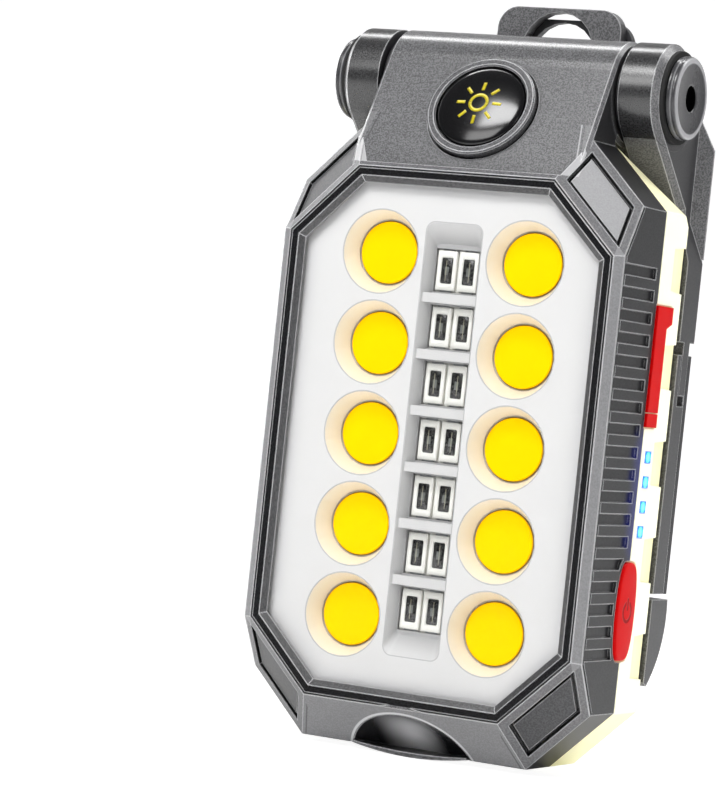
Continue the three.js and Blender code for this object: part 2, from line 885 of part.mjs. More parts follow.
// A round-headed screw lying along Y, with a cross recess. The tip points towards -Y.
function screw({ x, z, headFrom, headTo, tip, headR, shaftR }) {
  const slot = headR * 0.62;
  const width = headR * 0.12;
  const depth = 0.7 * (headTo - headFrom);
  return cut(
    join(rodY(headR, headFrom, headTo, x, z, 16), rodY(shaftR, tip, headFrom + 0.1, x, z, 8)),
    block([x - slot, headTo - depth, z - width], [x + slot, headTo + 1, z + width]),
    block([x - width, headTo - depth, z - slot], [x + width, headTo + 1, z + slot]),
  );
}

function caseScrew([x, z]) {
  return screw({ x, z, headFrom: 21.95, headTo: 23, tip: 8.5, headR: 2.05, shaftR: 0.85 });
}

const coverScrewSpots = fourCorners((sx, sz) => [sx * 22.5, -1.45 + sz * 13.8]);

function coverScrew([x, z]) {
  return screw({ x, z, headFrom: 28.3, headTo: 29.1, tip: 25.9, headR: 1.85, shaftR: 0.75 });
}

const footScrewSpots = bothSides((s) => [s * 15, -15.4]);

// These two face the other way, so their heads are at the front.
function footScrew([x, z]) {
  const headTo = 24.6;
  const headFrom = 23.75;
  const slot = block([x - 1, headFrom - 1, z - 0.2], [x + 1, headFrom + 0.6, z + 0.2]);
  const across = block([x - 0.2, headFrom - 1, z - 1], [x + 0.2, headFrom + 0.6, z + 1]);
  const body = join(rodY(1.6, headFrom, headTo, x, z, 16), rodY(0.75, headTo - 0.1, 27.2, x, z, 8));
  return cut(body, slot, across);
}

// ---------------------------------------------------------------- stand

const armFrontTangent = tangentPoint([stand.elbowY, stand.elbowZ], 1);
const armRearTangent = tangentPoint([stand.rearY, stand.bendZ], -1);

function aroundHinge([y, z]) {
  return Math.atan2(z - hinge.z, y - hinge.y);
}

// Side view of an arm: round at the hinge, then a wedge running down and back to the stand.
function armShape() {
  const shape = new THREE.Shape();
  const low = 30;
  shape.moveTo(...armFrontTangent);
  shape.lineTo(stand.elbowY, stand.elbowZ);
  shape.lineTo(stand.elbowY, low);
  shape.lineTo(stand.rearY, low);
  shape.lineTo(stand.rearY, stand.bendZ);
  shape.lineTo(...armRearTangent);
  const end = aroundHinge(armFrontTangent) + 2 * Math.PI;
  shape.absarc(hinge.y, hinge.z, hinge.barrelR, aroundHinge(armRearTangent), end, false);
  return shape;
}

function arm(side) {
  const chamfer = 0.9;
  const inner = 17;
  const [x0, x1] = side > 0 ? [inner, hinge.knuckleTo] : [-hinge.knuckleTo, -inner];
  const between = block([-hinge.knuckleFrom, 0, 0], [hinge.knuckleFrom, 40, 70]);
  return cut(chamferedX(armShape(), x0, x1, chamfer), between);
}

// The outer edge of the stand's back flares out behind each arm.
function armFlare(side) {
  const inside = side * 24;
  const outside = side * (head.halfWidth + 0.1);
  const ramp = [
    [inside, 26.9],
    [side * hinge.knuckleTo, 26.9],
    [outside, stand.rearY],
    [inside, stand.rearY],
  ];
  const column = alongZ(polygon(side > 0 ? ramp : ramp.reverse()), stand.slopeFoot, 60);
  const [x0, x1] = [Math.min(inside, outside), Math.max(inside, outside)];
  return column.intersect(alongX(armShape(), x0, x1, { curveSegments: 24 }));
}

function channelOutline() {
  return polygon([
    [-head.halfWidth, stand.bottom],
    [head.halfWidth, stand.bottom],
    [head.halfWidth, stand.slopeFoot],
    [hinge.knuckleTo, stand.slopeTop],
    [-hinge.knuckleTo, stand.slopeTop],
    [-head.halfWidth, stand.slopeFoot],
  ]);
}

// A springy catch is left between two windows in each side wall.
function sideWindows(side) {
  const [x0, x1] = side > 0 ? [24, 28] : [-28, -24];
  return [
    block([x0, 23, stand.coverTop], [x1, 25.3, stand.notchTop]),
    block([x0, 24.85, 9.9], [x1, 25.2, stand.coverTop + 0.1]),
    block([x0, 24.85, 8.5], [x1, 27.2, 10]),
  ];
}

function pinEars() {
  const y = (hook.front + hook.back) / 2;
  const half = 0.85;
  return bothSides((s) => {
    const [x0, x1] = s > 0 ? [8.2, 10.2] : [-10.2, -8.2];
    const web = block([x0, 26.5, hook.pinZ - half], [x1, y, hook.pinZ + half]);
    return join(rodX(hook.knuckleR, x0, x1, y, hook.pinZ, 32), web);
  });
}

function standFrame() {
  const wallInside = hinge.knuckleTo;
  const body = alongY(channelOutline(), stand.frontY, stand.rearY);
  const upperWeb = block([-19.6, 26.8, 30], [19.6, stand.rearY, 48.5]);
  const whole = join(body, upperWeb, bothSides(arm), bothSides(armFlare));
  const shelled = cut(
    whole,
    block([-wallInside, 23, stand.notchTop], [wallInside, 26.8, 33]),
    block([-19.2, 20, 32], [19.2, 26.8, 50]),
    block([-wallInside, 23, -30], [wallInside, 25.6, stand.notchTop + 0.1]),
    block([-30, stand.splitY, -30], [30, 32, stand.notchTop]),
  );
  return cut(
    join(shelled, pinEars()),
    bothSides(sideWindows).flat(),
    rodX(hook.pinR + 0.05, -12, 12, (hook.front + hook.back) / 2, hook.pinZ, 24),
    rodX(hinge.shaftR + 0.04, -30, 30, hinge.y, hinge.z, 48),
    magnetSpots.map(([x, z]) => rodY(magnet.radius + 0.2, magnet.front - 0.1, 28, x, z, 40)),
    coverScrewSpots.map(([x, z]) => rodY(0.85, 20, 30, x, z, 16)),
    footScrewSpots.map(([x, z]) => rodY(0.85, 20, 30, x, z, 16)),
  );
}

const magnetSpots = bothSides((s) => [s * 10.5, -1.45]);

function standMagnet([x, z]) {
  return rodY(magnet.radius, magnet.front, magnet.back, x, z, 36);
}

function standBackCover() {
  const edge = 0.6;
  const front = stand.splitY + 0.1;
  const rear = 29.2;
  const outline = [
    [-head.halfWidth, stand.bottom],
    [head.halfWidth, stand.bottom],
    [head.halfWidth, stand.coverTop],
    [-head.halfWidth, stand.coverTop],
  ];
  const plate = hull([
    ...atY(outline, front),
    ...atY(outline, rear - edge),
    ...atY(inset(outline, edge), rear),
  ]);
  return cut(
    plate,
    magnetSpots.map(([x, z]) => rodY(magnet.radius + 0.2, front - 1, magnet.back + 0.1, x, z, 40)),
    coverScrewSpots.map(([x, z]) => rodY(0.95, 20, 30, x, z, 16)),
    coverScrewSpots.map(([x, z]) => rodY(2.05, 28.2, 30, x, z, 24)),
  );
}

function standFoot() {
  const shape = new THREE.Shape();
  shape.moveTo(stand.frontY, foot.top);
  shape.lineTo(stand.frontY, foot.tip + 0.5);
  shape.lineTo(stand.frontY + 0.9, foot.tip);
  shape.bezierCurveTo(27.4, foot.tip + 2.6, 30.3, foot.tip + 6.8, 29.3, foot.top);
  const bar = alongX(shape, -head.halfWidth, head.halfWidth);
  const tongue = block([-24.9, 23.7, foot.top - 1], [24.9, 25.4, -11.5]);
  return cut(
    join(bar, tongue),
    footScrewSpots.map(([x, z]) => rodY(0.85, 20, 30, x, z, 16)),
    footScrewSpots.map(([x, z]) => rodY(1.75, 20, 24.65, x, z, 24)),
  );
}

// ---------------------------------------------------------------- hinge hardware

function hingeShaft() {
  return rodX(hinge.shaftR, -26.2, 26.2, hinge.y, hinge.z, 48);
}

function frictionWasher(side) {
  const [x0, x1] = side > 0 ? [18.3, 19.1] : [-19.1, -18.3];
  return cut(rodX(6.3, x0, x1, hinge.y, hinge.z, 32), rodX(3.2, x0 - 1, x1 + 1, hinge.y, hinge.z, 24));
}

function sealWasher(side) {
  const [x0, x1] = side > 0 ? [25.2, 25.7] : [-25.7, -25.2];
  return cut(rodX(6.7, x0, x1, hinge.y, hinge.z, 32), rodX(3.2, x0 - 1, x1 + 1, hinge.y, hinge.z, 24));
}

function hingeCap(side) {
  const inner = 25.7;
  const outer = 27.4;
  const radius = 6;
  const round = 0.7;
  const boreEnd = 26.35;
  const corner = [0, 1, 2].map((i) => {
    const angle = (Math.PI / 2) * (i / 2);
    return [radius - round + round * Math.cos(angle), outer - round + round * Math.sin(angle)];
  });
  const profile = [[0, inner], [radius, inner], ...corner, [0, outer]].map(([r, x]) => [r, side * x]);
  const cap = lathedX(side > 0 ? profile : profile.reverse(), 40, hinge.y, hinge.z);
  const boreFrom = 20;
  const [x0, x1] = side > 0 ? [boreFrom, boreEnd] : [-boreEnd, -boreFrom];
  const [x2, x3] = side > 0 ? [26, 30] : [-30, -26];
  const bore = rodX(hinge.shaftR + 0.05, x0, x1, hinge.y, hinge.z, 48);
  return cut(cap, bore, rodX(1.8, x2, x3, hinge.y, hinge.z, 24));
}

// ---------------------------------------------------------------- hanging hook

function eyeOutline({ stem, stemZ, shoulderZ, half, top, corner, eyeZ, eyeR }) {
  const shape = new THREE.Shape();
  shape.moveTo(-stem, stemZ);
  shape.lineTo(stem, stemZ);
  shape.lineTo(stem, shoulderZ - 5);
  shape.lineTo(half, shoulderZ);
  shape.absarc(half - corner, top - corner, corner, 0, Math.PI / 2, false);
  shape.absarc(corner - half, top - corner, corner, Math.PI / 2, Math.PI, false);
  shape.lineTo(-half, shoulderZ);
  shape.lineTo(-stem, shoulderZ - 5);
  shape.holes.push(circle(eyeR, 0, eyeZ));
  return shape;
}

function hookPlate() {
  const outline = eyeOutline({
    stem: 7.8,
    stemZ: hook.pinZ,
    shoulderZ: 50,
    half: 10.1,
    top: hook.top,
    corner: 3.3,
    eyeZ: hook.eyeZ,
    eyeR: hook.eyeR,
  });
  const slot = new THREE.Shape();
  slot.absarc(0, 28, 2.6, Math.PI, 2 * Math.PI, false);
  slot.absarc(0, 42, 2.6, 0, Math.PI, false);
  const y = (hook.front + hook.back) / 2;
  return cut(
    join(alongY(outline, hook.front, hook.back), rodX(hook.knuckleR, -7.8, 7.8, y, hook.pinZ, 32)),
    alongY(slot, 25, 35),
    rodX(hook.pinR + 0.08, -12, 12, y, hook.pinZ, 24),
  );
}

function hookGrip() {
  const outline = eyeOutline({
    stem: 9,
    stemZ: 46,
    shoulderZ: 52,
    half: 11.2,
    top: 64.2,
    corner: 3.6,
    eyeZ: hook.eyeZ - 0.9,
    eyeR: hook.eyeR - 0.4,
  });
  return alongY(outline, hook.back, hook.gripBack);
}

function hookPin() {
  return rodX(hook.pinR, -10.3, 10.3, (hook.front + hook.back) / 2, hook.pinZ, 24);
}

// ---------------------------------------------------------------- the whole lamp

const lamp = new THREE.Group();
lamp.position.set(0, -hook.gripBack / 2, head.lowest);

function add(name, solid, material) {
  const mesh = new THREE.Mesh(toGeometry(solid), material);
  mesh.name = name;
  lamp.add(mesh);
}

function addEach(name, spots, make, material) {
  spots.forEach((spot, i) => add(`${name}_${i + 1}`, make(spot), material));
}

function addPair(name, make, material) {
  add(`${name}_left`, make(-1), material);
  add(`${name}_right`, make(1), material);
}

add('front_shell', frontShell(), finishes.graphite);
add('rear_casing', rearCasing(), finishes.cream);
add('front_lens', frontLens(), finishes.clear);
add('reflector_panel', reflectorPanel(), finishes.white);
add('led_board', ledBoard(), finishes.boardWhite);
addEach('cob_emitter', cupSpots, cobEmitter, finishes.phosphor);
add('warning_led_strip', warningLedStrip(), finishes.boardWhite);
add('battery_tray', batteryTray(), finishes.darkPlastic);
add('battery_cell', batteryCell(), finishes.battery);
add('battery_pad', batteryPad(), finishes.foam);
add('battery_lead_red', redLead(), finishes.red);
add('battery_lead_black', blackLead(), finishes.blackWire);
add('control_board', controlBoard(), finishes.boardGreen);
add('charge_socket', chargeSocket(), finishes.steel);
add('tactile_switch', tactileSwitch(), finishes.darkPlastic);
add('indicator_guide', indicatorGuide(), finishes.blue);
add('power_button', powerButton(), finishes.red);
add('port_flap', portFlap(), finishes.red);
add('flap_root', flapRoot(), finishes.red);
add('badge_ring', badgeRing(), finishes.graphite);
add('badge_dome', badgeDome(), finishes.glossBlack);
addEach('case_screw', screwSpots, caseScrew, finishes.steel);
add('hinge_shaft', hingeShaft(), finishes.steel);
addPair('friction_washer', frictionWasher, finishes.darkPlastic);
addPair('seal_washer', sealWasher, finishes.foam);
addPair('hinge_cap', hingeCap, finishes.graphite);
add('stand_frame', standFrame(), finishes.graphite);
add('stand_back_cover', standBackCover(), finishes.darkPlastic);
add('stand_foot', standFoot(), finishes.graphite);
addEach('stand_magnet', magnetSpots, standMagnet, finishes.steel);
addEach('cover_screw', coverScrewSpots, coverScrew, finishes.steel);
addEach('foot_screw', footScrewSpots, footScrew, finishes.steel);
add('hook_plate', hookPlate(), finishes.graphite);
add('hook_grip', hookGrip(), finishes.darkPlastic);
add('hook_pin', hookPin(), finishes.steel);

export default lamp;
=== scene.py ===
"""A folding work light: procedural finishes for the moulded parts, and finely modelled
light cells, chips, badge, hinge caps and button around the lamp's frame. The lamp's lengths
are in millimetres until place() or a matrix puts them in the frame, and the studio's are in metres."""

import json
import math

import bmesh
import bpy
from mathutils import Matrix, Vector


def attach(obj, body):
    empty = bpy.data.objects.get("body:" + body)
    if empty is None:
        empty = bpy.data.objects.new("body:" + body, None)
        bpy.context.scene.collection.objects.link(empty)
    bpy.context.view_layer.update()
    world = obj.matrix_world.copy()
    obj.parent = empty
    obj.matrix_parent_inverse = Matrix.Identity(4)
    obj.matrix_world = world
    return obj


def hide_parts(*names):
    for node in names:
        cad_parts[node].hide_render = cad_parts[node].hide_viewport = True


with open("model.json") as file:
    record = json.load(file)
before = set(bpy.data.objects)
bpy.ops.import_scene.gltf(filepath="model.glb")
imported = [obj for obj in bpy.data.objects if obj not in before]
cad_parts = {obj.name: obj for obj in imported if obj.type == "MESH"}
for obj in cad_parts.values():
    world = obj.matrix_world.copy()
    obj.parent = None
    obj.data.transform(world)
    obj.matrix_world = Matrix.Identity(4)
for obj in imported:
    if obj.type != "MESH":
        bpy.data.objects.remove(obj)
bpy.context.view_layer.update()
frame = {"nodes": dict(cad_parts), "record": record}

MM = 0.001
# The lamp's own measures run from the front of the bezel and the middle row of lights.
ORIGIN = Vector((0, -16.425, 45.4))

HALF_WIDTH = 27.0
GRAPHITE_SPECULAR = 0.38
HINGE_Y, HINGE_Z = 17.6, 52.2
COLUMN_X = 11.45
ROW_PITCH = 13.1
CHIP_PITCH = 8.1
CHIP_X = 1.72
BUTTON_Y, BUTTON_Z = 13.8, -21.2
BARREL_RADIUS = 7.65
INDICATORS = [(16.3, 0.84 - 3.56 * i) for i in range(4)]
# The front face of the reflector, from which the cups and the trough go back.
FACE_Y = 1.74
# The bezel's front is an octagon. These are the ends of its top right corner, as x and z.
CORNER_START = (15.5, 38.3)
CORNER_END = (25.6, 28.3)
CORNER_BACK = Vector((18, 5.6, 44.6))
CORNER_DEPTH = 5.6
# The scoop at the lower end is part of a sphere.
SCOOP_CENTRE = (0, -3.6, -56.4)
SCOOP_RADIUS = 17.7
EMITTER_Y = 4.8
EMITTER_RADIUS = 4.45
NECK_BASE = (2.0, 38.9)
NECK_SLOPE = math.radians(62.4)
BADGE_Z = 47.8


def place(point):
    """A point in the lamp's own measures, as a point of the frame in metres."""
    return (Vector(point) + ORIGIN) * MM


def neck_matrix():
    """The frame of the badge: X across, Y up the sloping neck, Z out of it."""
    along = (BADGE_Z - NECK_BASE[1]) / math.sin(NECK_SLOPE)
    y = NECK_BASE[0] + along * math.cos(NECK_SLOPE)
    turn = Matrix.Rotation(NECK_SLOPE, 4, "X")
    return Matrix.Translation(place((0, y, BADGE_Z))) @ turn @ Matrix.Scale(MM, 4)


# ------------------------------------------------------------------ node helpers


class Nodes:
    """A short way to write a shader's node tree."""

    def __init__(self, material):
        self.tree = material.node_tree
        self.tree.nodes.clear()
        self.output = self.tree.nodes.new("ShaderNodeOutputMaterial")

    def link(self, source, target):
        """Joins a socket to an input, or gives the input a plain value."""
        if isinstance(source, bpy.types.NodeSocket):
            self.tree.links.new(source, target)
        else:
            target.default_value = source

    def add(self, kind, settings=None, **inputs):
        """A new node. An input is given by its name, or by its number as i0, i1 and so on."""
        node = self.tree.nodes.new(kind)
        for key, value in (settings or {}).items():
            setattr(node, key, value)
        for key, value in inputs.items():
            numbered = key[0] == "i" and key[1:].isdigit()
            self.link(value, node.inputs[int(key[1:]) if numbered else key.replace("_", " ")])
        return node

    def math(self, operation, a, b=0.0):
        return self.add("ShaderNodeMath", {"operation": operation}, i0=a, i1=b).outputs[0]

    def plus(self, a, b):
        return self.math("ADD", a, b)

    def minus(self, a, b):
        return self.math("SUBTRACT", a, b)

    def times(self, a, b):
        return self.math("MULTIPLY", a, b)

    def smaller(self, a, b):
        return self.math("MINIMUM", a, b)

    def larger(self, a, b):
        return self.math("MAXIMUM", a, b)

    def absolute(self, value):
        return self.math("ABSOLUTE", value)

    def above(self, value, limit):
        return self.math("GREATER_THAN", value, limit)

    def below(self, value, limit):
        return self.math("LESS_THAN", value, limit)

    def between(self, value, low, high):
        return self.times(self.above(value, low), self.below(value, high))

    def both(self, *masks):
        """1 where every mask is 1."""
        whole = masks[0]
        for mask in masks[1:]:
            whole = self.times(whole, mask)
        return whole

    def least(self, values):
        smallest = values[0]
        for value in values[1:]:
            smallest = self.smaller(smallest, value)
        return smallest

    def length(self, a, b):
        """The distance of the point (a, b) from the origin."""
        squares = self.plus(self.math("POWER", a, 2.0), self.math("POWER", b, 2.0))
        return self.math("SQRT", squares)

    def from_point(self, y, z, centre):
        """The distance of a point of the lamp's side from a (y, z) centre."""
        return self.length(self.minus(y, centre[0]), self.minus(z, centre[1]))

    def vector(self, operation, a, b=(0, 0, 0)):
        node = self.add("ShaderNodeVectorMath", {"operation": operation}, i0=a, i1=b)
        return node.outputs["Value" if operation in ("DOT_PRODUCT", "LENGTH") else "Vector"]

    def mix(self, factor, a, b):
        node = self.add("ShaderNodeMix", {"data_type": "RGBA"})
        self.link(factor, node.inputs[0])
        self.link(a, node.inputs[6])
        self.link(b, node.inputs[7])
        return node.outputs[2]

    def tint(self, colour, mask, amount, other):
        """Mixes an amount of another colour in where the mask is 1."""
        return self.mix(self.times(mask, amount), colour, other)

    def ramp(self, value, low, high):
        """0 below low, 1 above high, and smooth between them."""
        node = self.add("ShaderNodeMapRange", {"interpolation_type": "SMOOTHSTEP"}, Value=value)
        self.link(low, node.inputs["From Min"])
        self.link(high, node.inputs["From Max"])
        return node.outputs["Result"]

    def noise(self, scale, detail=3.0, roughness=0.6):
        """Grain whose size is 1 / scale metres."""
        sizes = {"Scale": scale, "Detail": detail, "Roughness": roughness}
        return self.add("ShaderNodeTexNoise", Vector=self.position(), **sizes).outputs["Fac"]

    def position(self):
        return self.add("ShaderNodeTexCoord").outputs["Object"]

    def measures(self):
        """The shaded point in the lamp's own measures, in millimetres, as x, y, z."""
        grow = {"operation": "SCALE"}
        scaled = self.add("ShaderNodeVectorMath", grow, i0=self.position(), Scale=1 / MM).outputs[0]
        split = self.add("ShaderNodeSeparateXYZ", i0=self.vector("SUBTRACT", scaled, ORIGIN))
        return split.outputs[0], split.outputs[1], split.outputs[2]

    def edge(self, radius):
        """1 on outer edges, where a rounded surface would turn, and 0 on flat faces; the finishes paint
        edge highlights with it.
        """
        rounded = self.add("ShaderNodeBevel", {"samples": 4}, Radius=radius).outputs[0]
        flat = self.add("ShaderNodeNewGeometry").outputs["Normal"]
        turned = self.ramp(self.vector("DOT_PRODUCT", rounded, flat), 0.997, 0.975)
        return self.times(turned, self.minus(1.0, self.crease(2 * radius)))

    def crease(self, distance):
        """1 deep in grooves and inner corners and 0 on open faces; the finishes paint shade with it."""
        openness = self.add("ShaderNodeAmbientOcclusion", {"samples": 5}, Distance=distance)
        return self.ramp(openness.outputs["AO"], 0.9, 0.35)


def principled(nodes, colour, roughness, normal=None, **more):
    shader = nodes.add("ShaderNodeBsdfPrincipled", Base_Color=colour, Roughness=roughness, **more)
    if normal is not None:
        nodes.link(normal, shader.inputs["Normal"])
    nodes.link(shader.outputs[0], nodes.output.inputs["Surface"])
    return shader


def soft_normal(nodes, radius, heights):
    """Rounded edges, with each (height, strength, distance) pressed into the surface."""
    normal = nodes.add("ShaderNodeBevel", {"samples": 4}, Radius=radius).outputs[0]
    for height, strength, distance in heights:
        press = {"Height": height, "Strength": strength, "Distance": distance}
        normal = nodes.add("ShaderNodeBump", Normal=normal, **press).outputs[0]
    return normal


def new_material(name):
    material = bpy.data.materials.new(name)
    material.use_nodes = True
    return material, Nodes(material)


def rgb(*levels):
    """An sRGB colour, given as three levels up to 255, in the linear values that shaders use."""
    shares = [level / 255 for level in levels]
    linear = [v / 12.92 if v <= 10 / 255 else ((v + 0.055) / 1.055) ** 2.4 for v in shares]
    return (*linear, 1.0)


def shade(colour, factor, lift=0.0):
    """A colour made darker or lighter by a factor, and lifted by a constant."""
    return [min(1.0, c * factor + lift) for c in colour[:3]] + [1.0]


def base_colour(shader):
    """What a shader's colour comes from so far, so that more can be painted over it."""
    return shader.inputs["Base Color"].links[0].from_socket


def base_roughness(shader):
    """What a shader's roughness comes from so far."""
    return shader.inputs["Roughness"].links[0].from_socket


# ------------------------------------------------------------------ finishes


def paint_edge_highlight(nodes, colour, amount):
    """Paints a highlight on the outer edges, where light catches them."""
    return nodes.tint(colour, nodes.edge(0.24 * MM), amount, rgb(226, 226, 228))


def graphite(name, base, gloss=0.0, edge_highlight=0.85):
    """Dark moulded plastic with a fine salt-and-pepper grain, painted shade in its creases and, when
    asked, a painted highlight on its outer edges. Returns its nodes and shader too.
    """
    speckle = 0.42
    material, nodes = new_material(name)
    fine = nodes.noise(4400.0, 2.0, 0.7)
    cloud = nodes.noise(160.0, 3.0, 0.5)
    grains = nodes.ramp(fine, 0.42, 0.58)
    colour = nodes.mix(grains, shade(base, 1 - speckle), shade(base, 1 + speckle))
    colour = nodes.tint(colour, cloud, 0.18, shade(base, 0.6))
    # Painted highlight on the outer edges.
    if edge_highlight:
        colour = paint_edge_highlight(nodes, colour, edge_highlight)
    # Painted shade darkens the creases and grooves.
    colour = nodes.tint(colour, nodes.crease(1.1 * MM), 0.9, shade(base, 0.12))
    roughness = nodes.plus(nodes.times(fine, 0.14), 0.24 - gloss)
    normal = soft_normal(nodes, 0.28 * MM, [(fine, 0.25, 0.02 * MM)])
    shader = principled(nodes, colour, roughness, normal, Specular_IOR_Level=GRAPHITE_SPECULAR)
    return material, nodes, shader


def polish_hinge(nodes, shader, y, z, darkening):
    """Darkens and polishes the round faces about the hinge."""
    radius = nodes.from_point(y, z, (HINGE_Y, HINGE_Z))
    turned = nodes.below(nodes.absolute(nodes.minus(radius, BARREL_RADIUS)), 0.06)
    colour = nodes.tint(base_colour(shader), turned, darkening, rgb(24, 24, 25))
    roughness = nodes.minus(base_roughness(shader), nodes.times(turned, 0.08))
    nodes.link(colour, shader.inputs["Base Color"])
    nodes.link(roughness, shader.inputs["Roughness"])
    shine = nodes.plus(nodes.times(turned, 0.5), GRAPHITE_SPECULAR)
    nodes.link(shine, shader.inputs["Specular IOR Level"])


def from_octagon(nodes, across, height, inset=0.0):
    """How far inside the bezel's octagon a point of the face lies, less an inset."""
    start, end = Vector(CORNER_START), Vector(CORNER_END)
    slope = Vector((start.y - end.y, end.x - start.x)).normalized()
    diagonal = nodes.plus(nodes.times(across, slope.x), nodes.times(height, slope.y))
    to_side = nodes.minus(end.x - inset, across)
    to_end = nodes.minus(start.y - inset, height)
    to_corner = nodes.minus(slope.dot(start) - inset, diagonal)
    return nodes.smaller(nodes.smaller(to_side, to_end), to_corner)


class ShellPoint:
    """Where the shaded point of the head lies, and which way its face points."""

    def __init__(self, nodes):
        self.x, self.y, self.z = nodes.measures()
        self.across = nodes.absolute(self.x)
        self.height = nodes.absolute(self.z)
        flat = nodes.add("ShaderNodeNewGeometry").outputs["True Normal"]
        self.facing = nodes.vector("DOT_PRODUCT", flat, (0, -1, 0))
        self.turned_side = nodes.absolute(nodes.add("ShaderNodeSeparateXYZ", i0=flat).outputs[0])


def paint_band(nodes, at, colour):
    """A dark border inside the bezel's rim, blotched where it is flat. Returns the flat part too."""
    rim_width, band_width = 0.42, 1.46
    from_rim = from_octagon(nodes, at.across, at.height)
    front = nodes.both(nodes.below(at.y, 0.75), nodes.above(at.facing, 0.5))
    band = nodes.both(front, nodes.above(from_rim, rim_width))
    flat_band = nodes.both(band, nodes.below(from_rim, band_width))
    blotch = nodes.ramp(nodes.noise(4200.0, 2.0, 0.6), 0.3, 0.7)
    colour = nodes.tint(colour, band, 0.5, rgb(30, 30, 31))
    colour = nodes.mix(flat_band, colour, nodes.mix(blotch, rgb(5, 5, 6), rgb(36, 36, 38)))
    return colour, flat_band


def paint_wall_shade(nodes, at, colour):
    """Paints shade on the upright walls behind the bezel. Returns where they are too."""
    from_hinge = nodes.from_point(at.y, at.z, (HINGE_Y, HINGE_Z))
    off_barrel = nodes.above(from_hinge, BARREL_RADIUS + 0.1)
    upright = nodes.below(nodes.absolute(at.facing), 0.2)
    walls = nodes.both(upright, nodes.above(at.y, 0.96), off_barrel)
    # Painted shade on the walls.
    return nodes.tint(colour, walls, 0.8, rgb(24, 24, 26)), walls


def paint_facet_light(nodes, at, colour):
    """Paints light on three narrow facets that catch it: the lower end, the cheeks of the neck and the
    bezel's sides.
    """
    lower_end = nodes.both(
        nodes.below(at.turned_side, 0.05),
        nodes.between(at.facing, 0.5, 0.95),
        nodes.above(at.height, 38.2),
        nodes.below(at.y, 6.0),
        nodes.below(at.z, 0),
    )
    cheek = nodes.both(
        nodes.between(at.turned_side, 0.3, 0.985),
        nodes.between(at.across, 15.0, 18.0),
        nodes.between(at.z, 38.9, 43.4),
        nodes.below(at.y, 4.2),
    )
    sides = nodes.both(nodes.above(at.across, 25.62), nodes.below(at.y, 0.93), nodes.above(at.facing, 0.3))
    # Painted light on the facets.
    colour = nodes.tint(colour, lower_end, 0.4, rgb(176, 176, 178))
    colour = nodes.tint(colour, cheek, 0.7, rgb(208, 208, 210))
    return nodes.tint(colour, sides, 0.5, rgb(158, 158, 160))


def paint_scoop(nodes, at, colour):
    """Paints shade in the scoop, with a painted highlight streak down its middle and a painted highlight
    along its rim. Returns where its bowl is too.
    """
    steps = [nodes.minus(value, middle) for value, middle in zip((at.x, at.y, at.z), SCOOP_CENTRE)]
    reach = nodes.add("ShaderNodeCombineXYZ", i0=steps[0], i1=steps[1], i2=steps[2]).outputs[0]
    distance = nodes.vector("LENGTH", reach)
    low = nodes.below(at.z, -38)
    off_bowl = nodes.absolute(nodes.minus(distance, SCOOP_RADIUS))
    bowl = nodes.both(nodes.below(off_bowl, 0.06), low)
    just_outside = nodes.between(distance, SCOOP_RADIUS + 0.06, SCOOP_RADIUS + 0.28)
    rim = nodes.both(just_outside, low, nodes.above(at.facing, 0.3))
    # Painted highlight along the rim.
    colour = nodes.tint(colour, rim, 0.8, rgb(222, 222, 224))
    from_middle = nodes.absolute(nodes.plus(at.x, 0.5))
    # Painted shade in the bowl, with a painted highlight streak down its middle.
    highlight_streak = nodes.times(nodes.ramp(from_middle, 5.5, 0.0), nodes.ramp(at.z, -38.0, -43.0))
    return nodes.mix(bowl, colour, nodes.mix(highlight_streak, rgb(34, 34, 36), rgb(250, 250, 252))), bowl


def corner_facet():
    """The top right corner facet: its outward direction, how far out it lies, and its sides,
    each as an inward direction and the distance at which it starts."""
    start, end = (Vector((x, 0, z)) for x, z in (CORNER_START, CORNER_END))
    outward = (end - start).cross(CORNER_BACK - start).normalized()
    if outward.y > 0:
        outward.negate()
    offset = outward.dot(start)

    def on_side(y):
        return Vector((HALF_WIDTH, y, (offset - outward.x * HALF_WIDTH - outward.y * y) / outward.z))

    ring = [start, on_side(0.05), on_side(CORNER_DEPTH), CORNER_BACK]
    middle = sum(ring, Vector()) / len(ring)
    sides = []
    for a, b in zip(ring, ring[1:] + ring[:1]):
        inward = outward.cross(b - a).normalized()
        if inward.dot(middle - a) < 0:
            inward.negate()
        sides.append((tuple(inward), inward.dot(a)))
    return tuple(outward), offset, sides


def paint_corners(nodes, at, colour):
    """The corner facets: a paler border, painted shade in a dark groove, and a sunken panel with a painted
    highlight at the top right and painted shade at the others.
    """
    outward, offset, sides = corner_facet()
    folded = nodes.add("ShaderNodeCombineXYZ", i0=at.across, i1=at.y, i2=at.height).outputs[0]
    depth = nodes.minus(offset, nodes.vector("DOT_PRODUCT", folded, outward))
    corner = nodes.both(nodes.above(at.height, 28.4), nodes.below(at.y, 6.0), nodes.above(at.across, 15.5))
    border = nodes.both(corner, nodes.below(depth, 0.05))
    panel = nodes.both(corner, nodes.between(depth, 0.25, 0.36))
    starts = [nodes.minus(nodes.vector("DOT_PRODUCT", folded, inward), start) for inward, start in sides]
    inside = nodes.least(starts)
    groove = nodes.both(corner, nodes.between(inside, 1.28, 1.87))
    # The sunken panel is painted light at the top right and painted with shade elsewhere.
    top_right = nodes.both(nodes.above(at.z, 0), nodes.above(at.x, 0))
    panel_highlight_and_shade = nodes.mix(top_right, rgb(58, 58, 60), rgb(186, 186, 188))
    colour = nodes.tint(colour, border, 0.25, rgb(150, 150, 152))
    colour = nodes.tint(colour, panel, 0.6, panel_highlight_and_shade)
    # Painted shade in the groove.
    return nodes.tint(colour, groove, 0.93, rgb(8, 8, 9))


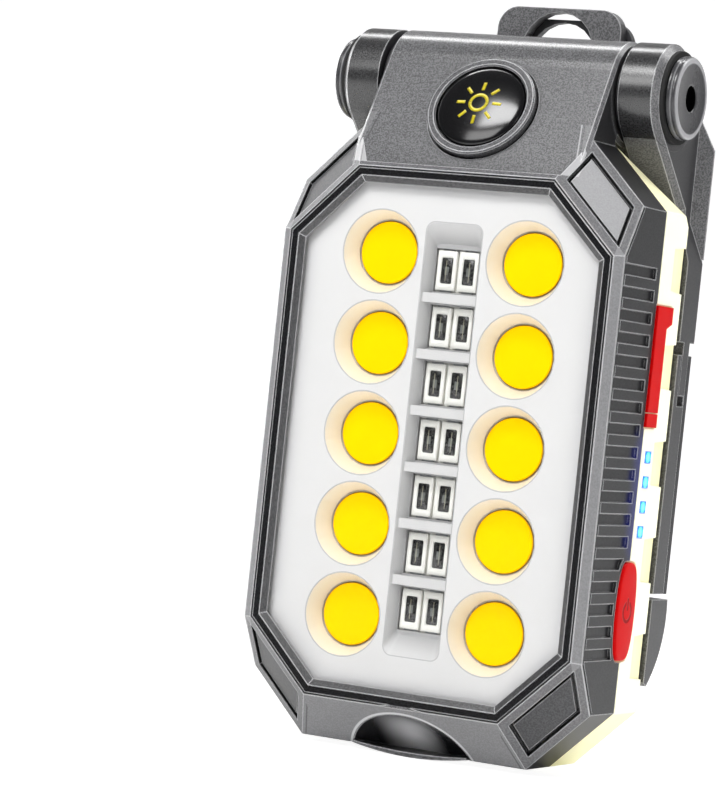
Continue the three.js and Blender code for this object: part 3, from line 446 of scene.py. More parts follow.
def shell_graphite():
    """The lamp head's graphite, with its painted dark band, painted shade on the walls, in the scoop and
    in the corner grooves, painted light on the facets, a painted highlight in the scoop, on the top right
    corner panel and on the outer edges, and a faint painted blue glow on the side next to the indicators."""
    material, nodes, shader = graphite("shell_graphite", rgb(96, 96, 98), edge_highlight=0)
    at = ShellPoint(nodes)
    polish_hinge(nodes, shader, at.y, at.z, 0.1)
    colour, band = paint_band(nodes, at, base_colour(shader))
    colour, walls = paint_wall_shade(nodes, at, colour)
    colour = paint_facet_light(nodes, at, colour)
    colour, bowl = paint_scoop(nodes, at, colour)
    colour = paint_corners(nodes, at, colour)
    # Painted highlight on the outer edges.
    nodes.link(paint_edge_highlight(nodes, colour, 0.8), shader.inputs["Base Color"])

    matt = nodes.larger(nodes.times(band, 0.75), nodes.times(walls, 0.6))
    shine = shader.inputs["Specular IOR Level"].links[0].from_socket
    nodes.link(nodes.times(shine, nodes.minus(1.0, matt)), shader.inputs["Specular IOR Level"])
    roughness = nodes.minus(base_roughness(shader), nodes.times(bowl, 0.12))
    nodes.link(roughness, shader.inputs["Roughness"])

    # A painted blue glow, standing in for the indicators' light on the side.
    near = nodes.ramp(from_indicators(nodes, at.y, at.z), 6.5, 2.0)
    beside = nodes.both(nodes.above(at.x, 26), near)
    nodes.link(rgb(20, 60, 255), shader.inputs["Emission Color"])
    nodes.link(nodes.times(beside, 0.16), shader.inputs["Emission Strength"])
    return material


def stand_graphite():
    """The stand's graphite, with painted shade on the outer faces of its arms and walls and a painted
    highlight on its edges.
    """
    material, nodes, shader = graphite("stand_graphite", rgb(100, 100, 102), edge_highlight=0)
    normal = nodes.add("ShaderNodeNewGeometry").outputs["Normal"]
    split = nodes.add("ShaderNodeSeparateXYZ", i0=normal)
    sideways = nodes.above(nodes.absolute(split.outputs[0]), 0.9)
    _, y, z = nodes.measures()
    polish_hinge(nodes, shader, y, z, 0.85)
    # Painted shade on the sideways faces.
    colour = nodes.tint(base_colour(shader), sideways, 0.75, rgb(26, 26, 28))
    # Painted highlight on the outer edges.
    nodes.link(paint_edge_highlight(nodes, colour, 0.7), shader.inputs["Base Color"])
    return material


def trough_distance(nodes, across, height):
    """How far a point lies from the core of the middle trough, which has rounded corners."""
    core_x, core_z = 3.12, 29.7
    beyond_x = nodes.larger(nodes.minus(across, core_x), 0.0)
    beyond_z = nodes.larger(nodes.minus(height, core_z), 0.0)
    return nodes.length(beyond_x, beyond_z)


def reflector_white():
    """White satin that turns cream inside the cups, with painted shade: a little darker near the bezel's
    rim, deepening into the cups, greying down in the middle trough and in grey lines along the rims of the
    cups and trough.
    """
    inset, cup_radius, trough_radius = 2.4, 6.124, 1.28
    material, nodes = new_material("reflector_white")
    x, y, z = nodes.measures()
    across, height = nodes.absolute(x), nodes.absolute(z)
    on_face, sunken = nodes.below(y, FACE_Y), nodes.above(y, FACE_Y)
    depth = nodes.ramp(y, FACE_Y, 4.5)
    by_rows = nodes.below(height, 33)
    from_row = nodes.math("PINGPONG", z, ROW_PITCH / 2)
    from_centre = nodes.length(nodes.minus(across, COLUMN_X), from_row)
    from_rim = from_octagon(nodes, across, height, inset)
    # Painted shade near the bezel's rim.
    white = nodes.mix(nodes.ramp(from_rim, 0.0, 2.6), rgb(206, 206, 207), rgb(216, 216, 216))
    # Painted shade deepening into the cups.
    cup = nodes.mix(depth, rgb(240, 237, 229), rgb(234, 228, 215))
    in_cup = nodes.both(nodes.below(from_centre, cup_radius), by_rows, sunken)
    colour = nodes.mix(in_cup, white, cup)

    # Painted shade lines along the rims of the cups and trough.
    cup_rim = nodes.both(nodes.between(from_centre, 5.98, 6.14), on_face, by_rows)
    from_trough = trough_distance(nodes, across, height)
    near_trough = nodes.between(from_trough, trough_radius, trough_radius + 0.16)
    rim_shade = nodes.larger(cup_rim, nodes.both(near_trough, on_face))
    colour = nodes.tint(colour, rim_shade, 0.55, rgb(150, 150, 152))
    # Painted shade greying the trough with depth.
    trough = nodes.both(nodes.below(across, 4.6), sunken)
    colour = nodes.mix(trough, colour, nodes.mix(depth, rgb(208, 208, 208), rgb(158, 158, 159)))

    fine = nodes.noise(2600.0)
    normal = soft_normal(nodes, 0.2 * MM, [(fine, 0.1, 0.004 * MM)])
    rough = nodes.plus(nodes.times(fine, 0.1), 0.34)
    principled(nodes, colour, rough, normal, Specular_IOR_Level=0.3)
    return material


def cream():
    """Satin cream plastic with faint mottling, painted yellower and darker in its recesses as shade, and
    with a faint glow that stands in for light.
    """
    material, nodes = new_material("casing_cream")
    x, _, _ = nodes.measures()
    # Painted shade: yellower and darker in the recesses.
    deep = nodes.larger(nodes.ramp(nodes.absolute(x), 26.9, 26.7), nodes.crease(0.8 * MM))
    cloud = nodes.noise(90.0, 4.0, 0.55)
    fine = nodes.noise(3000.0, 2.0, 0.5)
    base = nodes.mix(cloud, rgb(252, 251, 232), rgb(247, 246, 221))
    colour = nodes.mix(nodes.times(deep, 0.7), base, rgb(243, 238, 182))
    roughness = nodes.plus(nodes.times(fine, 0.1), 0.36)
    normal = soft_normal(nodes, 0.35 * MM, [(fine, 0.12, 0.01 * MM)])
    # The glow is painted light that brightens the plastic.
    principled(nodes, colour, roughness, normal, Emission_Color=colour, Emission_Strength=0.26)
    return material


def red_rubber(name="red_rubber", symbol=False):
    """Satin red rubber. The button's has a power symbol, drawn by tint and bump."""
    material, nodes = new_material(name)
    fine = nodes.noise(4200.0, 2.0, 0.6)
    cloud = nodes.noise(240.0, 3.0, 0.5)
    colour = nodes.mix(cloud, rgb(204, 1, 3), rgb(218, 3, 6))
    heights = [(fine, 0.15, 0.01 * MM)]
    if symbol:
        mark = power_symbol(nodes)
        colour = nodes.mix(nodes.times(mark, 0.75), colour, rgb(120, 6, 12))
        heights.append((nodes.minus(1.0, mark), 0.8, 0.12 * MM))
    normal = soft_normal(nodes, 0.3 * MM, heights)
    rough = nodes.plus(nodes.times(fine, 0.14), 0.34)
    # A faint painted glow that brightens the red.
    glow = {"Emission_Color": colour, "Emission_Strength": 0.03}
    principled(nodes, colour, rough, normal, Specular_IOR_Level=0.06, **glow)
    return material


def power_symbol(nodes):
    """An open ring with a bar through its gap, 1 on the mark, drawn on the lamp's side."""
    ring_radius, bar_middle = 1.35, 1.1
    _, y, z = nodes.measures()
    side = nodes.absolute(nodes.minus(y, BUTTON_Y))
    up = nodes.minus(z, BUTTON_Z)
    distance = nodes.from_point(y, z, (BUTTON_Y, BUTTON_Z))
    off_ring = nodes.absolute(nodes.minus(distance, ring_radius))
    ring = nodes.minus(1.0, nodes.ramp(off_ring, 0.16, 0.3))
    gap = nodes.times(nodes.ramp(side, 0.65, 0.45), nodes.ramp(up, 0.0, 0.4))
    ring = nodes.times(ring, nodes.minus(1.0, gap))
    off_middle = nodes.absolute(nodes.minus(up, bar_middle))
    bar = nodes.times(nodes.ramp(side, 0.28, 0.14), nodes.ramp(off_middle, 0.95, 0.8))
    return nodes.larger(ring, bar)


def phosphor():
    """Yellow gel with fine granules that glows a little."""
    material, nodes = new_material("led_phosphor")
    voronoi = nodes.add("ShaderNodeTexVoronoi", Vector=nodes.position(), Scale=3200.0)
    granules = voronoi.outputs["Distance"]
    cloud = nodes.noise(400.0, 3.0, 0.6)
    colour = nodes.mix(cloud, rgb(206, 172, 0), rgb(213, 180, 0))
    colour = nodes.tint(colour, nodes.ramp(granules, 0.2, 0.8), 0.12, rgb(190, 150, 0))
    normal = soft_normal(nodes, 0.15 * MM, [(granules, 0.12, 0.015 * MM)])
    glow = {"Emission_Color": rgb(255, 190, 0), "Emission_Strength": 0.76}
    principled(nodes, colour, 0.5, normal, Specular_IOR_Level=0.02, **glow)
    return material


def plain_plastic(name, colour, roughness, grain=3500.0, depth=0.012, variation=0.12):
    """A moulded plastic with fine grain, slow changes of tone and a painted highlight that pales its
    edges.
    """
    material, nodes = new_material(name)
    fine = nodes.noise(grain, 3.0, 0.6)
    cloud = nodes.noise(grain / 18, 3.0, 0.5)
    base = nodes.mix(nodes.ramp(cloud, 0.3, 0.7), shade(colour, 1 - variation), colour)
    # Painted highlight on the edges.
    base = nodes.tint(base, nodes.edge(0.15 * MM), 0.2, shade(colour, 1.5, 0.02))
    rough = nodes.plus(nodes.times(fine, 0.12), roughness - 0.06)
    normal = soft_normal(nodes, 0.15 * MM, [(fine, 0.2, depth * MM)])
    principled(nodes, base, rough, normal)
    return material


def clear_plastic():
    """The front window: nearly invisible, with a faint reflection."""
    material, nodes = new_material("clear_plastic")
    see_through = nodes.add("ShaderNodeBsdfTransparent", Color=(0.99, 0.99, 0.99, 1))
    haze = nodes.noise(60.0, 2.0, 0.5)
    rough = nodes.plus(nodes.times(haze, 0.05), 0.02)
    gloss = nodes.add("ShaderNodeBsdfGlossy", Roughness=rough)
    facing = nodes.add("ShaderNodeFresnel", IOR=1.3)
    factor = nodes.times(facing.outputs[0], 0.1)
    mixed = nodes.add("ShaderNodeMixShader", i0=factor, i1=see_through.outputs[0], i2=gloss.outputs[0])
    nodes.link(mixed.outputs[0], nodes.output.inputs["Surface"])
    return material


def metal(name, colour, roughness):
    """Plated metal with fine brushing."""
    material, nodes = new_material(name)
    stretch = (300.0, 9000.0, 9000.0)
    stretched = nodes.add("ShaderNodeMapping", Vector=nodes.position(), Scale=stretch).outputs[0]
    brush = nodes.add("ShaderNodeTexNoise", Vector=stretched, Scale=1.0, Detail=3.0).outputs["Fac"]
    rough = nodes.plus(nodes.times(brush, 0.2), roughness)
    normal = soft_normal(nodes, 0.1 * MM, [(brush, 0.1, 0.01 * MM)])
    tone = nodes.mix(brush, shade(colour, 0.85), colour)
    principled(nodes, tone, rough, normal, Metallic=1.0)
    return material


def circuit_board():
    """Green solder mask with paler tracks."""
    material, nodes = new_material("board_green")
    layout = {"Scale": 420.0, "Mortar_Size": 0.03}
    tracks = nodes.add("ShaderNodeTexBrick", Vector=nodes.position(), **layout).outputs["Fac"]
    fine = nodes.noise(3000.0)
    colour = nodes.mix(tracks, rgb(20, 88, 48), rgb(52, 130, 78))
    normal = soft_normal(nodes, 0.1 * MM, [(fine, 0.1, 0.01 * MM), (tracks, 0.3, 0.02 * MM)])
    principled(nodes, colour, 0.3, normal)
    return material


def from_indicators(nodes, y, z):
    """How far a point of the lamp's side lies from the nearest indicator, in millimetres."""
    return nodes.least([nodes.from_point(y, z, middle) for middle in INDICATORS])


def light_guide():
    """A clear window over a blue-white indicator: bright in the middle, deeper at its rim."""
    material, nodes = new_material("light_guide_blue")
    _, y, z = nodes.measures()
    nearest = from_indicators(nodes, y, z)
    colour = nodes.mix(nodes.ramp(nearest, 0.2, 1.1), rgb(90, 220, 255), rgb(0, 96, 255))
    fine = nodes.noise(2500.0)
    normal = soft_normal(nodes, 0.12 * MM, [(fine, 0.1, 0.01 * MM)])
    principled(nodes, colour, 0.2, normal, Emission_Color=colour, Emission_Strength=1.6)
    return material


def gloss_black():
    """Polished black with a few specks of dust."""
    material, nodes = new_material("gloss_black")
    dust = nodes.noise(2600.0, 2.0, 0.5)
    cloud = nodes.noise(120.0, 3.0, 0.5)
    rough = nodes.plus(nodes.times(cloud, 0.06), 0.13)
    colour = nodes.mix(nodes.ramp(dust, 0.68, 0.74), rgb(9, 9, 11), rgb(40, 40, 44))
    normal = soft_normal(nodes, 0.08 * MM, [(cloud, 0.02, 0.02 * MM)])
    principled(nodes, colour, rough, normal, Specular_IOR_Level=0.6)
    return material


def make_materials():
    """Every finish, under the name that the frame's pieces and the new ones use for it."""
    return {
        "shell_graphite": shell_graphite(),
        "stand_graphite": stand_graphite(),
        "casing_cream": cream(),
        "dark_plastic": plain_plastic("dark_plastic", rgb(38, 38, 41), 0.5),
        "clear_plastic": clear_plastic(),
        "reflector_white": reflector_white(),
        "led_phosphor": phosphor(),
        # The dam's darker amber stands partly for the shade round the gel discs.
        "cell_rim": plain_plastic("cell_rim", rgb(150, 118, 30), 0.5, variation=0.1),
        "board_white": plain_plastic("board_white", rgb(240, 240, 234), 0.5, variation=0.04),
        "board_green": circuit_board(),
        "battery_foil": plain_plastic("battery_foil", rgb(52, 108, 158), 0.4, grain=900.0, depth=0.05),
        "foam": plain_plastic("foam", rgb(28, 28, 28), 0.9, grain=1800.0, depth=0.08),
        "wire_red": plain_plastic("wire_red", rgb(196, 20, 24), 0.4),
        "wire_black": plain_plastic("wire_black", rgb(20, 20, 22), 0.4),
        "red_rubber": red_rubber(),
        "light_guide_blue": light_guide(),
        "gloss_black": gloss_black(),
        "steel": metal("steel", rgb(190, 192, 196), 0.22),
        "magnet": metal("magnet", rgb(170, 170, 174), 0.35),
    }


# ------------------------------------------------------------------ surfacing the frame's own pieces


def smoothing_group():
    """Smooth shading everywhere but across edges sharper than a limit."""
    limit = math.radians(23)
    group = bpy.data.node_groups.new("smooth_by_angle", "GeometryNodeTree")
    group.interface.new_socket("Geometry", in_out="INPUT", socket_type="NodeSocketGeometry")
    group.interface.new_socket("Geometry", in_out="OUTPUT", socket_type="NodeSocketGeometry")
    made = {}
    for key, kind in {
        "in": "NodeGroupInput",
        "merge": "GeometryNodeMergeByDistance",
        "faces": "GeometryNodeSetShadeSmooth",
        "angle": "GeometryNodeInputMeshEdgeAngle",
        "sharp": "FunctionNodeCompare",
        "edges": "GeometryNodeSetShadeSmooth",
        "out": "NodeGroupOutput",
    }.items():
        made[key] = group.nodes.new(kind)
    made["merge"].inputs["Distance"].default_value = 0.0005 * MM
    made["edges"].domain = "EDGE"
    made["edges"].inputs["Shade Smooth"].default_value = False
    made["sharp"].data_type = "FLOAT"
    made["sharp"].operation = "GREATER_THAN"
    made["sharp"].inputs[1].default_value = limit
    links = group.links
    links.new(made["in"].outputs[0], made["merge"].inputs["Geometry"])
    links.new(made["merge"].outputs[0], made["faces"].inputs["Geometry"])
    links.new(made["faces"].outputs[0], made["edges"].inputs["Geometry"])
    links.new(made["angle"].outputs["Unsigned Angle"], made["sharp"].inputs[0])
    links.new(made["sharp"].outputs[0], made["edges"].inputs["Selection"])
    links.new(made["edges"].outputs[0], made["out"].inputs[0])
    return group


def dress_frame(materials):
    """Gives every CAD node its finish and smooth shading."""
    group = smoothing_group()
    # The badge ring keeps the default painted highlight on its edges.
    polished, _, _ = graphite("polished_ring", rgb(92, 92, 94), gloss=0.12)
    slots = {row["node"]: row["material_slot"] for row in frame["record"]["subparts"]}
    for name, node in frame["nodes"].items():
        node.data.materials.clear()
        node.data.materials.append(polished if name == "badge_ring" else materials[slots[name]])
        smooth = node.modifiers.new("smooth", "NODES")
        smooth.node_group = group


# ------------------------------------------------------------------ building new pieces


def object_from(shape, name, material):
    """Turns a filled bmesh into a smooth object of the scene."""
    mesh = bpy.data.meshes.new(name)
    shape.to_mesh(mesh)
    shape.free()
    for polygon in mesh.polygons:
        polygon.use_smooth = True
    mesh.materials.append(material)
    made = bpy.data.objects.new(name, mesh)
    bpy.context.scene.collection.objects.link(made)
    return made


def new_object(name, mesh_builder, material, body):
    """A finely modelled piece that rides on a body. The builder fills a bmesh."""
    shape = bmesh.new()
    mesh_builder(shape)
    bmesh.ops.recalc_face_normals(shape, faces=shape.faces)
    made = object_from(shape, name, material)
    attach(made, body)
    return made


def on_circle(radius, share):
    """The point at a share of a whole turn round a circle."""
    angle = 2 * math.pi * share
    return radius * math.cos(angle), radius * math.sin(angle)


def add_loops(shape, loops, capped=False):
    """Joins rings of equally many points with quads, and returns the rings."""
    rings = [[shape.verts.new(p) for p in loop] for loop in loops]
    count = len(rings[0])
    for lower, upper in zip(rings, rings[1:]):
        for i in range(count):
            j = (i + 1) % count
            shape.faces.new((lower[i], lower[j], upper[j], upper[i]))
    if capped:
        shape.faces.new(list(reversed(rings[0])))
        shape.faces.new(rings[-1])
    return rings


def lathe(shape, profile, matrix, segments=96):
    """A turned solid from (radius, height) points, whose ends lie on the axis."""
    loops = []
    for radius, height in profile[1:-1]:
        circle = [on_circle(radius, i / segments) for i in range(segments)]
        loops.append([matrix @ Vector((x, y, height)) for x, y in circle])
    rings = add_loops(shape, loops)
    first = shape.verts.new(matrix @ Vector((0, 0, profile[0][1])))
    last = shape.verts.new(matrix @ Vector((0, 0, profile[-1][1])))
    for i in range(segments):
        j = (i + 1) % segments
        shape.faces.new((first, rings[0][j], rings[0][i]))
        shape.faces.new((last, rings[-1][i], rings[-1][j]))


def turned(profile, matrix, segments=96):
    """A builder that new_object can use to make one turned solid."""
    return lambda shape: lathe(shape, profile, matrix, segments)


def facing_front(x, y, z):
    """A frame whose Z axis points out of the lamp's face."""
    turn = Matrix.Rotation(math.radians(90), 4, "X")
    return Matrix.Translation(place((x, y, z))) @ turn @ Matrix.Scale(MM, 4)


def light_cells():
    """The middles of the ten lights, as x and z, from the top row down and left to right."""
    return [(side * COLUMN_X, (2 - row) * ROW_PITCH) for row in range(5) for side in (-1, 1)]


def rolled_rim(radius, height, roll, steps):
    """A quarter round on a disc's upper edge, as (radius, height) points from side to top."""
    turns = [i / steps / 4 for i in range(steps + 1)]
    arcs = [on_circle(roll, turn) for turn in turns]
    return [(radius - roll + out, height - roll + up) for out, up in arcs]


def emitter(index, spot, materials):
    """One gel disc with a softly rounded rim, slightly domed."""
    thick, rise = 0.5, 0.05
    rim = rolled_rim(EMITTER_RADIUS, thick, 0.16, 6)
    dome = [(r, thick + rise * (1 - (r / EMITTER_RADIUS) ** 2)) for r in (3.6, 2.6, 1.5, 0.7)]
    profile = [(0, 0), (EMITTER_RADIUS, 0), *rim, *dome, (0, thick + rise)]
    matrix = facing_front(spot[0], EMITTER_Y, spot[1])
    finish = materials["led_phosphor"]
    build = turned(profile, matrix)
    made = new_object(f"emitter_gel_{index}", build, finish, "head")
    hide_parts(f"cob_emitter_{index}")


def emitter_dam(index, spot, materials):
    """The thin amber ring that holds a gel disc. Its darker amber also stands in for the thin shade round
    the disc's edge.
    """
    segments = 96
    matrix = facing_front(spot[0], EMITTER_Y, spot[1])
    section = [(4.47, 0.0), (4.62, 0.0), (4.62, 0.2), (4.59, 0.25), (4.5, 0.25), (4.47, 0.2)]

    def build(shape):
        loops = []
        for i in range(segments):
            corners = [(*on_circle(radius, i / segments), height) for radius, height in section]
            loops.append([matrix @ Vector(corner) for corner in corners])
        loops.append(loops[0])
        add_loops(shape, loops)
        bmesh.ops.remove_doubles(shape, verts=shape.verts, dist=1e-7)

    new_object(f"emitter_dam_{index}", build, materials["cell_rim"], "head")


def rounded_rectangle(half_x, half_z, radius):
    """The outline of a rectangle with rounded corners, as (x, z) points."""
    corner_steps = 4
    points = []
    for corner, (side_x, side_z) in enumerate([(1, 1), (-1, 1), (-1, -1), (1, -1)]):
        for i in range(corner_steps + 1):
            x, z = on_circle(radius, (corner + i / corner_steps) / 4)
            points.append((side_x * (half_x - radius) + x, side_z * (half_z - radius) + z))
    return points


def add_plate(shape, x, z, steps):
    """A stepped plate parallel to the face: each step is (y, half width, half height, radius)."""
    loops = []
    for y, half_x, half_z, radius in steps:
        outline = rounded_rectangle(half_x, half_z, radius)
        loops.append([place((x + a, y, z + b)) for a, b in outline])
    add_loops(shape, loops, capped=True)


def chip_spots():
    """The middles of the fourteen chips, as x and z."""
    return [(side * CHIP_X, (3 - row) * CHIP_PITCH) for row in range(7) for side in (-1, 1)]


def chip_housing(shape):
    """Fourteen white chip housings, each a frame round a sunken window, on their long board."""
    board = [(4.78, 3.4, 28, 0.3), (4.5, 3.4, 28, 0.3), (4.45, 3.35, 27.95, 0.25)]
    housing = [
        (4.44, 1.5, 2.82, 0.1),
        (3.86, 1.52, 2.85, 0.12),
        (3.8, 1.46, 2.79, 0.12),
        (3.8, 0.98, 1.98, 0.25),
        (3.84, 0.94, 1.94, 0.25),
        (4.14, 0.82, 1.8, 0.2),
    ]
    add_plate(shape, 0, 0, board)
    for x, z in chip_spots():
        add_plate(shape, x, z, housing)


def chip_core(shape):
    """The dark encapsulant in each window."""
    core = [(4.13, 0.8, 1.78, 0.2), (3.96, 0.86, 1.84, 0.2), (3.93, 0.8, 1.78, 0.2)]
    for x, z in chip_spots():
        add_plate(shape, x, z, core)


def chip_terminals(shape):
    """Two small solder ends on each chip."""
    terminal = [(4.44, 0.9, 0.12, 0.04), (4.2, 0.9, 0.12, 0.04), (4.15, 0.84, 0.08, 0.04)]
    for x, z in chip_spots():
        for end in (-1, 1):
            add_plate(shape, x, z + end * 2.94, terminal)


def chip_core_finish():
    """Smoky encapsulant with pale wires and a grey die showing through."""
    material, nodes = new_material("chip_core")
    x, _, z = nodes.measures()
    row = nodes.math("PINGPONG", z, CHIP_PITCH / 2)
    across = nodes.minus(nodes.absolute(x), CHIP_X)
    die = nodes.times(nodes.ramp(nodes.absolute(across), 0.34, 0.28), nodes.ramp(row, 0.62, 0.55))
    off_wire = nodes.absolute(nodes.minus(across, 0.12))
    wire = nodes.times(nodes.ramp(off_wire, 0.07, 0.04), nodes.ramp(row, 1.5, 1.4))
    fine = nodes.noise(2600.0)
    colour = nodes.mix(nodes.ramp(fine, 0.35, 0.7), rgb(24, 25, 27), rgb(66, 66, 64))
    colour = nodes.tint(colour, die, 0.75, rgb(118, 122, 118))
    colour = nodes.tint(colour, wire, 0.6, rgb(176, 172, 150))
    normal = soft_normal(nodes, 0.05 * MM, [(fine, 0.1, 0.01 * MM)])
    principled(nodes, colour, 0.16, normal, Coat_Weight=0.4)
    return material


# ------------------------------------------------------------------ badge


DOME_RADIUS, DOME_SHOULDER, DOME_RISE, DOME_BASE = 6.65, 0.7, 1.2, -0.7


def dome_height(radius):
    return DOME_SHOULDER + DOME_RISE * math.sqrt(max(0.0, 1 - (radius / DOME_RADIUS) ** 2))


def badge_dome(materials):
    """The badge's glossy dome, on a short straight foot."""
    steps = 24
    arc = [DOME_RADIUS * math.cos(math.pi / 2 * i / steps) for i in range(steps)]
    profile = [(0, DOME_BASE), (DOME_RADIUS, DOME_BASE), *[(r, dome_height(r)) for r in arc]]
    profile.append((0, dome_height(0)))
    build = turned(profile, neck_matrix(), 128)
    made = new_object("badge_lens", build, materials["gloss_black"], "head")
    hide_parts("badge_dome")


def on_dome(x, y, lift):
    """A point of the badge drawn at x, y, lying on the dome."""
    return neck_matrix() @ Vector((x, y, dome_height(math.hypot(x, y)) + lift))


def glyph_patch(shape, outline):
    """A thin printed patch that follows the dome. The outline is a list of (inner, outer) points."""
    under, top = 0.005, 0.03
    loops = []
    for inner, outer in outline:
        corners = [(inner, under), (outer, under), (outer, top), (inner, top)]
        loops.append([on_dome(*point, lift) for point, lift in corners])
    add_loops(shape, loops, capped=True)


def sun_glyph(shape):
    """A generic lamp mark: a ring with eight rays."""
    steps, rays, ray_steps = 48, 8, 6
    inner_radius, outer_radius = 1.05, 1.55
    ray_start, ray_length, ray_half_width = 2.15, 1.35, 0.24
    turns = [i / steps for i in range(steps)]
    ring = [(on_circle(inner_radius, turn), on_circle(outer_radius, turn)) for turn in turns]
    glyph_patch(shape, ring[: steps // 2 + 1])
    glyph_patch(shape, ring[steps // 2 :] + ring[:1])
    for ray in range(rays):
        along = Vector(on_circle(1, ray / rays))
        across = Vector((-along.y, along.x)) * ray_half_width
        centres = [along * (ray_start + ray_length * i / ray_steps) for i in range(ray_steps + 1)]
        glyph_patch(shape, [(tuple(middle - across), tuple(middle + across)) for middle in centres])


# ------------------------------------------------------------------ hinge caps


def cap_finish():
    """Dark polished plastic with a bright turned ring painted on as a highlight, painted shade in its
    creases, and a centre hole painted black as shade.
    """
    hole_radius = 1.86
    material, nodes = new_material("hinge_cap")
    _, y, z = nodes.measures()
    distance = nodes.from_point(y, z, (HINGE_Y, HINGE_Z))
    fine = nodes.noise(4600.0, 2.0, 0.6)
    colour = nodes.mix(fine, rgb(40, 40, 42), rgb(74, 74, 77))
    # Painted highlight on the turned ring.
    rim = nodes.both(nodes.ramp(distance, 4.9, 5.2), nodes.ramp(distance, 5.95, 5.7))
    colour = nodes.tint(colour, rim, 0.7, rgb(190, 190, 193))
    # Painted shade in the creases.
    colour = nodes.tint(colour, nodes.crease(1.0 * MM), 0.9, rgb(6, 6, 6))
    # The hole is painted black as shade.
    hole = nodes.below(distance, hole_radius)
    colour = nodes.mix(hole, colour, rgb(4, 4, 4))
    rings = nodes.math("SINE", nodes.times(distance, 40.0))
    rough = nodes.plus(nodes.times(fine, 0.12), 0.16)
    normal = soft_normal(nodes, 0.15 * MM, [(rings, 0.06, 0.01 * MM), (fine, 0.1, 0.01 * MM)])
    shader = principled(nodes, colour, nodes.larger(rough, hole), normal)
    shine = nodes.times(nodes.minus(1.0, hole), 0.5)
    nodes.link(shine, shader.inputs["Specular IOR Level"])
    return material


def hinge_caps():
    """Turned end caps: a stepped body, a rolled rim, a slightly dished face and a centre hole."""
    spigot = [(0, 26.4), (3.05, 26.4), (3.05, 25.7), (5.9, 25.7)]
    groove = [(6.0, 25.8), (6.0, 26.25), (5.8, 26.4), (5.8, 26.55), (6.0, 26.7)]
    face = [(5.1, 27.37), (4.9, 27.3), (2.2, 27.28), (1.95, 27.26), (1.8, 27.1), (1.8, 26.5), (0, 26.5)]
    profile = spigot + groove + rolled_rim(6.0, 27.4, 0.6, 8) + face
    finish = cap_finish()
    for side, word in ((-1, "left"), (1, "right")):
        turn = Matrix.Rotation(math.radians(90 * side), 4, "Y")
        matrix = Matrix.Translation(place((0, HINGE_Y, HINGE_Z))) @ turn @ Matrix.Scale(MM, 4)
        made = new_object(f"end_cap_{word}", turned(profile, matrix), finish, "stand")
        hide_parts(f"hinge_cap_{word}")


# ------------------------------------------------------------------ power button


def button_outline(extra):
    """The button's long oval outline, as (y, z) points, grown by an extra width."""
    steps, half_width, half_length, squareness = 96, 3.25, 7, 0.48
    points = []
    for i in range(steps):
        angle = 2 * math.pi * i / steps
        across = math.copysign(abs(math.sin(angle)) ** squareness, math.sin(angle))
        y = BUTTON_Y + (half_width + extra) * across
        points.append((y, BUTTON_Z - (half_length + extra) * math.cos(angle)))
    return points


def button_cap(shape):
    """A flange behind the casing wall, straight sides, a softly rolled top and a square stem."""
    roll, roll_steps = 0.45, 6
    steps = [(24.1, 0.9), (24.9, 0.9), (24.9, 0.0), (26.8, 0.0)]
    for i in range(1, roll_steps + 1):
        angle = math.pi / 2 * i / roll_steps
        steps.append((26.85 + roll * math.sin(angle), -roll * (1 - math.cos(angle))))
    steps += [(27.34, -1.2), (27.37, -2.0), (27.38, -2.8)]
    add_loops(shape, [[place((x, y, z)) for y, z in button_outline(extra)] for x, extra in steps], True)
    near, far, low, high = 14.8, 16.6, BUTTON_Z - 1.5, BUTTON_Z + 1.5
    stem = [(near, low), (far, low), (far, high), (near, high)]
    add_loops(shape, [[place((x, y, z)) for y, z in stem] for x in (23.55, 24.15)], True)


# ------------------------------------------------------------------ studio


def floor_finish():
    """Pale grey to the light, and nearly white to the camera."""
    material, nodes = new_material("studio_floor")
    cloud = nodes.noise(6.0, 2.0, 0.5)
    tone = nodes.mix(cloud, (0.9, 0.9, 0.9, 1), (0.94, 0.94, 0.94, 1))
    lit = principled(nodes, tone, 0.6)
    glow = nodes.add("ShaderNodeEmission", Color=(1.45, 1.45, 1.45, 1))
    seen = nodes.add("ShaderNodeLightPath").outputs["Is Camera Ray"]
    share = nodes.times(seen, 0.8)
    mixed = nodes.add("ShaderNodeMixShader", i0=share, i1=lit.outputs[0], i2=glow.outputs[0])
    nodes.link(mixed.outputs[0], nodes.output.inputs["Surface"])
    return material


def sweep_floor():
    """A pale floor that curves up into the backdrop. Sizes are in metres."""
    front, bend_start, radius, top, half_width, steps = -3.0, 0.35, 0.6, 4.0, 4.0, 16
    profile = [(front, 0.0), (bend_start, 0.0)]
    for i in range(1, steps + 1):
        angle = math.pi / 2 * i / steps
        profile.append((bend_start + radius * math.sin(angle), radius * (1 - math.cos(angle))))
    profile.append((bend_start + radius, top))
    shape = bmesh.new()
    rows = [[shape.verts.new((x, y, z)) for x in (-half_width, half_width)] for y, z in profile]
    for low, high in zip(rows, rows[1:]):
        shape.faces.new((low[0], low[1], high[1], high[0]))
    object_from(shape, "studio_floor", floor_finish())


def soft_box(name, location, target, size, power):
    """A rectangular white light aimed at a target, with its size in metres and power in watts."""
    light = bpy.data.lights.new(name, "AREA")
    light.shape = "RECTANGLE"
    light.size, light.size_y = size
    light.energy = power
    holder = bpy.data.objects.new(name, light)
    holder.location = location
    direction = Vector(target) - Vector(location)
    holder.rotation_euler = direction.to_track_quat("-Z", "Y").to_euler()
    bpy.context.scene.collection.objects.link(holder)


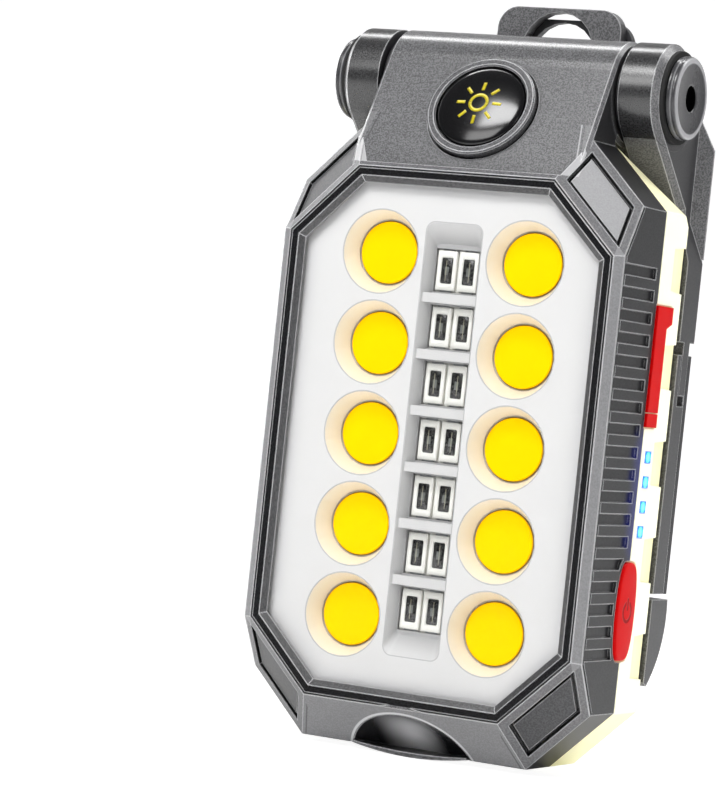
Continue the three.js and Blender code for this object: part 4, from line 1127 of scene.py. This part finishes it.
def backdrop():
    """A dim world that lights the lamp a little and looks white to the camera."""
    dim, bright = 0.16, 1.2
    world = bpy.data.worlds.new("studio")
    world.use_nodes = True
    tree = world.node_tree
    seen = tree.nodes.new("ShaderNodeLightPath").outputs["Is Camera Ray"]
    brightness = tree.nodes.new("ShaderNodeMapRange")
    brightness.inputs["To Min"].default_value = dim
    brightness.inputs["To Max"].default_value = bright
    background = tree.nodes["Background"]
    background.inputs["Color"].default_value = (1, 1, 1, 1)
    tree.links.new(seen, brightness.inputs["Value"])
    tree.links.new(brightness.outputs["Result"], background.inputs["Strength"])
    bpy.context.scene.world = world


def studio():
    """A floor, six soft lights and a backdrop."""
    sweep_floor()
    middle = (0, 0, 0.055)
    soft_box("key", (-0.06, -0.45, 0.62), middle, (0.42, 0.2), 4.8)
    soft_box("front_fill", (-0.2, -0.8, 0.5), middle, (0.5, 0.3), 2.9)
    soft_box("side", (0.7, -0.3, 0.15), middle, (0.15, 0.5), 1.2)
    soft_box("left_rim", (-0.45, 0.25, 0.2), middle, (0.1, 0.4), 1.5)
    soft_box("back_rim", (0.3, 0.3, 0.5), middle, (0.3, 0.2), 1.6)
    soft_box("overhead_strip", (0, 0.2, 0.6), (0, 0, 0.097), (0.9, 0.07), 3.2)
    backdrop()


def camera():
    """Looks at the lamp from its front right, with the lamp leaning in the picture."""
    azimuth, elevation, roll = (math.radians(v) for v in (27.61, 0.49, 6.02))
    seat = (215.2, -433.8, 8.8)
    level_back = Vector((math.sin(azimuth), -math.cos(azimuth), 0)) * math.cos(elevation)
    back = level_back + Vector((0, 0, math.sin(elevation)))
    level = (-back).cross(Vector((0, 0, 1))).normalized()
    upright = level.cross(-back)
    right = math.cos(roll) * level + math.sin(roll) * upright
    up = -math.sin(roll) * level + math.cos(roll) * upright
    data = bpy.data.cameras.new("camera")
    data.sensor_width = 36
    data.lens = 153.9
    data.clip_start = 0.01
    holder = bpy.data.objects.new("camera", data)
    rotation = Matrix((right, up, back)).transposed().to_4x4()
    holder.matrix_world = Matrix.Translation(place(seat)) @ rotation
    scene = bpy.context.scene
    scene.collection.objects.link(holder)
    scene.camera = holder
    scene.view_settings.view_transform = "Standard"
    scene.view_settings.exposure = -0.3
    scene.cycles.use_denoising = True


# ------------------------------------------------------------------ the whole scene


def build():
    """Dresses the frame, adds the finely modelled pieces and sets up the studio."""
    materials = make_materials()
    dress_frame(materials)
    for index, spot in enumerate(light_cells(), 1):
        emitter(index, spot, materials)
        emitter_dam(index, spot, materials)
    housing = new_object("chip_housings", chip_housing, materials["board_white"], "head")
    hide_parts("warning_led_strip")
    new_object("chip_cores", chip_core, chip_core_finish(), "head")
    new_object("chip_terminals", chip_terminals, materials["steel"], "head")
    badge_dome(materials)
    hinge_caps()
    mark = plain_plastic("badge_yellow", rgb(240, 214, 20), 0.4, variation=0.05)
    new_object("badge_mark", sun_glyph, mark, "head")
    marked_red = red_rubber("button_red", symbol=True)
    button = new_object("button_cap", button_cap, marked_red, "power_button")
    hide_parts("power_button")
    studio()
    camera()


build()
